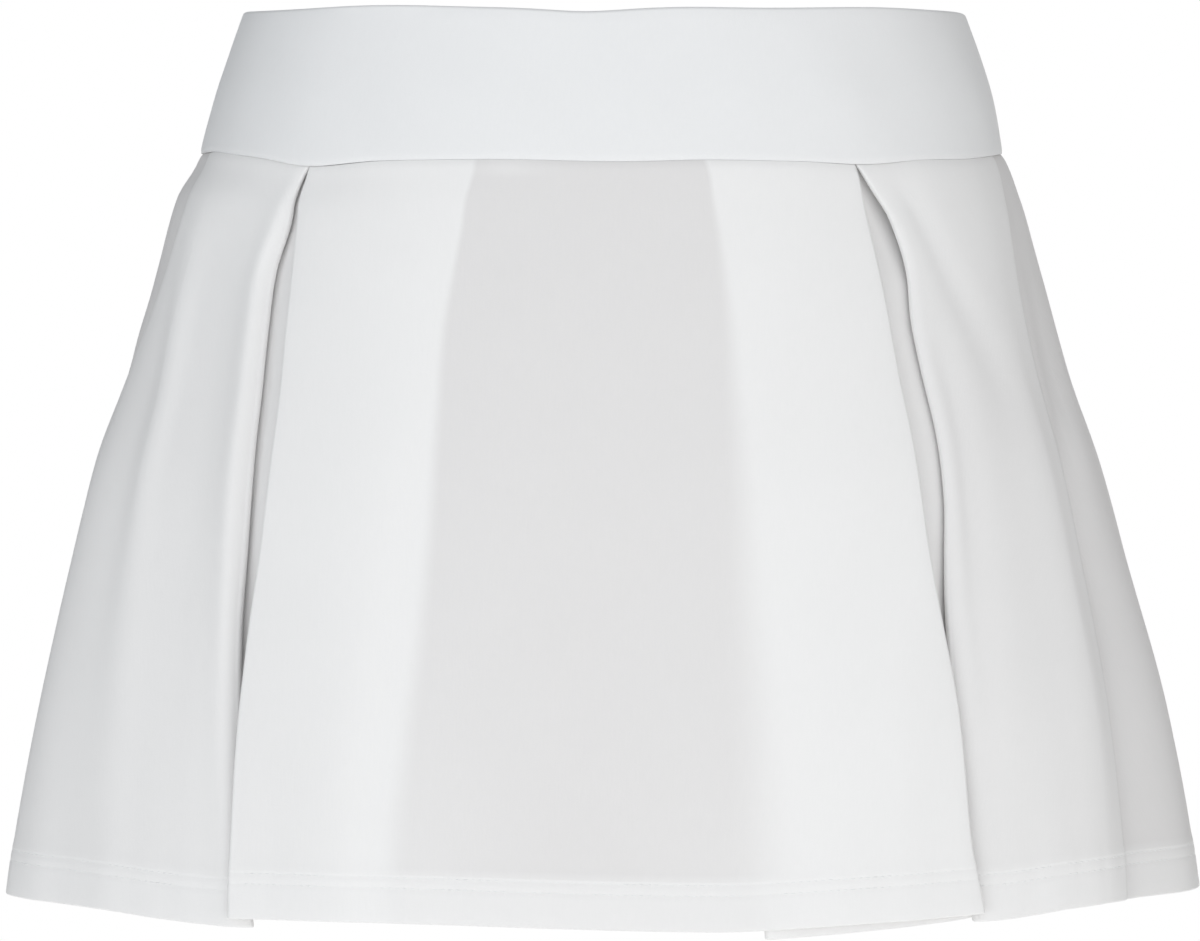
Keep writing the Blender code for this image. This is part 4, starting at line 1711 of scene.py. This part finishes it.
SOFT_FOLDS = (
    # Both sides: the form is proud where it turns to the back, first at the wearer's right
    SoftFold((
        Mark(0.0, -70.0, 10.0, 18.0, 0.8),
        Mark(25.0, -70.5, 11.0, 20.0, 1.8),
        Mark(60.0, -72.0, 13.0, 22.0, 2.4),
        Mark(110.0, -73.5, 15.0, 24.0, 4.4),
        Mark(200.0, -73.0, 17.0, 28.0, 7.2),
        Mark(HEM, -73.0, 17.0, 30.0, 9.2),
    )),
    SoftFold((
        Mark(60.0, 77.0, 12.0, 12.0, 0.0),
        Mark(110.0, 77.0, 12.0, 14.0, 0.8),
        Mark(160.0, 77.5, 18.0, 14.0, 2.2),
        Mark(200.0, 78.0, 22.0, 14.0, 3.4),
        Mark(HEM, 78.0, 24.0, 15.0, 4.2),
    )),
    # Front, the wearer's right: a roll along the pleat's edge, a trough, a long ridge and a last trough
    SoftFold((
        Mark(4.0, -47.4, 4.0, 3.0, 0.1),
        Mark(20.0, -47.8, 5.0, 3.2, 0.8),
        Mark(40.0, -48.8, 5.5, 3.4, 1.3),
        Mark(60.0, -48.0, 6.0, 3.4, 1.5),
        Mark(100.0, -45.8, 6.0, 3.4, 1.55),
        Mark(150.0, -43.6, 6.0, 3.8, 1.45),
        Mark(205.0, -41.4, 6.0, 4.5, 1.1),
        Mark(HEM, -38.4, 7.0, 5.0, 0.8),
    )),
    SoftFold((
        Mark(8.0, -54.0, 10.0, 7.0, -0.2),
        Mark(35.0, -57.0, 14.0, 12.0, -1.2),
        Mark(60.0, -55.5, 16.0, 12.0, -1.7),
        Mark(110.0, -52.0, 17.0, 11.0, -1.4),
        Mark(165.0, -50.2, 19.0, 12.0, -1.1),
        Mark(HEM, -48.0, 21.0, 13.0, -0.7),
    )),
    SoftFold((
        Mark(10.0, -66.0, 8.0, 7.0, 0.1),
        Mark(40.0, -65.0, 8.0, 6.0, 1.2),
        Mark(60.0, -63.6, 7.0, 5.0, 2.0),
        Mark(90.0, -61.6, 6.5, 5.0, 2.2),
        Mark(120.0, -60.6, 7.0, 6.0, 1.9),
        Mark(150.0, -59.6, 8.0, 7.5, 1.5),
        Mark(200.0, -57.6, 12.0, 10.0, 0.9),
        Mark(HEM, -56.0, 17.0, 15.0, 0.5),
    )),
    SoftFold((
        Mark(60.0, -70.0, 7.0, 6.0, 0.0),
        Mark(95.0, -68.0, 8.0, 7.0, -0.2),
        Mark(140.0, -66.5, 8.0, 8.0, -0.1),
        Mark(180.0, -64.0, 10.0, 10.0, 0.0),
    )),
    # Front, the middle panel: a low ridge that leans out towards the hem
    SoftFold((
        Mark(50.0, -22.0, 16.0, 10.0, 0.0),
        Mark(100.0, -23.6, 16.0, 10.0, 0.7),
        Mark(200.0, -26.2, 18.0, 11.0, 1.3),
        Mark(HEM, -27.4, 18.0, 12.0, 0.7),
    )),
    # Front, the wearer's left: a dent that slants off the pleat, one along its edge, the ridge beyond
    SoftFold((
        Mark(6.0, 45.0, 4.0, 8.0, -0.2),
        Mark(24.0, 48.0, 4.5, 8.0, -1.0),
        Mark(46.0, 51.2, 6.0, 8.0, -1.1),
        Mark(69.0, 54.4, 7.0, 9.0, -0.9),
        Mark(95.0, 56.6, 8.0, 9.0, -0.2),
        Mark(110.0, 57.0, 8.0, 9.0, 0.0),
    )),
    SoftFold((
        Mark(60.0, 46.6, 4.0, 6.0, 0.0),
        Mark(85.0, 46.6, 4.0, 7.0, -0.8),
        Mark(125.0, 44.9, 4.5, 9.0, -1.2),
        Mark(165.0, 43.2, 6.0, 10.0, -0.9),
        Mark(230.0, 42.2, 8.0, 14.0, -0.8),
        Mark(HEM, 42.0, 9.0, 16.0, -0.7),
    )),
    SoftFold((
        Mark(8.0, 64.0, 12.0, 10.0, 0.2),
        Mark(60.0, 61.5, 13.0, 9.0, 0.9),
        Mark(110.0, 60.6, 12.0, 7.0, 1.8),
        Mark(150.0, 59.4, 13.0, 7.0, 2.4),
        Mark(200.0, 58.2, 17.0, 8.0, 2.7),
        Mark(HEM, 56.0, 19.0, 10.0, 2.5),
    )),
    # The wearer's left side, behind the seam: the strip stands out more and more towards the hem
    SoftFold((
        Mark(60.0, 74.0, 12.0, 10.0, 0.0),
        Mark(110.0, 73.0, 12.0, 12.0, 0.3),
        Mark(190.0, 73.0, 16.0, 16.0, 1.6),
        Mark(HEM, 73.0, 18.0, 18.0, 2.2),
    )),
    # The wearer's left side: a short valley behind the seam, deepest a third of the way down
    SoftFold((
        Mark(10.0, 79.0, 6.0, 9.0, -0.4),
        Mark(50.0, 77.0, 6.0, 9.0, -1.6),
        Mark(86.0, 74.4, 5.0, 8.0, -2.8),
        Mark(114.0, 70.4, 4.5, 7.0, -2.6),
        Mark(134.0, 67.4, 4.0, 6.0, -1.3),
        Mark(160.0, 65.4, 4.0, 5.0, 0.0),
    )),
    # The back, from the wearer's left to the right
    SoftFold((
        Mark(0.0, 104.0, 18.0, 20.0, -0.8),
        Mark(134.0, 102.0, 24.0, 26.0, -2.6),
        Mark(HEM, 100.0, 28.0, 28.0, -3.0),
    )),
    SoftFold((
        Mark(30.0, 114.0, 8.0, 10.0, 0.0),
        Mark(110.0, 112.0, 9.0, 14.0, 1.2),
        Mark(200.0, 113.0, 12.0, 16.0, 0.6),
        Mark(HEM, 114.0, 14.0, 16.0, 0.8),
    )),
    SoftFold((
        Mark(0.0, 127.0, 18.0, 14.0, 0.6),
        Mark(134.0, 125.5, 22.0, 16.0, 2.6),
        Mark(HEM, 124.0, 24.0, 20.0, 3.2),
    )),
    SoftFold((
        Mark(20.0, 152.0, 9.0, 14.0, 0.0),
        Mark(90.0, 151.0, 10.0, 18.0, -1.2),
        Mark(180.0, 153.0, 14.0, 20.0, -1.3),
        Mark(HEM, 154.0, 18.0, 22.0, -0.8),
    )),
    SoftFold((
        Mark(10.0, 170.0, 14.0, 12.0, 0.1),
        Mark(120.0, 172.0, 20.0, 16.0, 1.4),
        Mark(HEM, 175.0, 24.0, 20.0, 1.1),
    )),
    SoftFold((
        Mark(15.0, 190.0, 10.0, 12.0, -0.1),
        Mark(70.0, 189.0, 12.0, 14.0, -1.3),
        Mark(160.0, 191.0, 14.0, 18.0, -0.8),
        Mark(HEM, 193.0, 18.0, 20.0, -1.2),
    )),
    SoftFold((
        Mark(8.0, 228.0, 10.0, 8.0, 0.2),
        Mark(60.0, 229.0, 9.0, 8.0, -1.9),
        Mark(130.0, 227.0, 9.0, 10.0, -1.6),
        Mark(220.0, 224.0, 10.0, 12.0, -0.3),
    )),
    SoftFold((
        Mark(0.0, 235.0, 20.0, 22.0, 0.4),
        Mark(134.0, 237.5, 22.0, 24.0, 2.8),
        Mark(HEM, 240.0, 28.0, 26.0, 3.0),
    )),
    SoftFold((
        Mark(0.0, 256.0, 18.0, 18.0, -0.6),
        Mark(134.0, 255.0, 22.0, 20.0, -2.4),
        Mark(HEM, 254.0, 26.0, 24.0, -2.8),
    )),
    SoftFold((
        Mark(25.0, 266.0, 9.0, 7.0, 0.0),
        Mark(95.0, 264.0, 12.0, 8.0, 1.1),
        Mark(190.0, 262.0, 12.0, 10.0, 0.5),
        Mark(HEM, 262.0, 14.0, 10.0, 0.9),
    )),
    SoftFold((
        Mark(0.0, 272.0, 14.0, 12.0, 0.3),
        Mark(134.0, 268.0, 18.0, 16.0, -1.0),
        Mark(HEM, 264.0, 22.0, 18.0, -0.8),
    )),
)


def declare(piece: bpy.types.Object, node: str = "") -> None:
    """Makes a piece ride with the skirt, lets it stand for its solid and reports it.

    Args:
        piece: The piece.
        node: The solid that it replaces, or nothing.
    """
    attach(piece, ROOT)
    if node:
        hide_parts(node)
    triangles = sum(len(face.vertices) - 2 for face in piece.data.polygons)
    log.info("%s: %d triangles, %s", piece.name, triangles, f"in place of {node}" if node else "added")


def main() -> None:
    """Builds the skirt, piece by piece, then the studio round it."""
    logging.basicConfig(level=logging.INFO, format="%(name)s: %(message)s")
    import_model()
    band_knit = InterlockKnit(
        name="double_jersey_knitted", single="#F0F0F0", backed="#F0F0F0", wale=1.1, course=4.0, cloud=22.0
    ).build()
    skirt_knit = InterlockKnit().build()
    thread = TexturedThread().build()
    seam = WaistSeam()

    for half in Half:
        band = BandHalf(half, BAND_FIGURE, seam)
        cloth = band.build(band_knit)
        declare(cloth, f"waistband_{half.value}")

    shared = {"figure": SKIRT_FIGURE, "seam": seam, "sides": SIDE_SEAMS, "folds": SOFT_FOLDS}
    front = SkirtHalf(
        half=Half.FRONT,
        first_pleat=FRONT_PLEAT_RIGHT,
        last_pleat=FRONT_PLEAT_LEFT,
        bow=Bow(1.0, 1.3, 1.6),
        flat_width=1.04,
        flat_area=0.25,
        **shared,
    )
    back = SkirtHalf(
        half=Half.BACK,
        first_pleat=BACK_PLEAT_LEFT,
        last_pleat=BACK_PLEAT_RIGHT,
        bow=Bow(1.0, -0.5),
        flat_width=1.19,
        flat_area=0.295,
        **shared,
    )
    for skirt in (front, back):
        cloth = skirt.build(skirt_knit)
        stitches = HemStitching().build(skirt, thread)
        declare(cloth, f"skirt_{skirt.half.value}")
        declare(stitches)

    Studio().build()


if __name__ == "__main__":
    main()
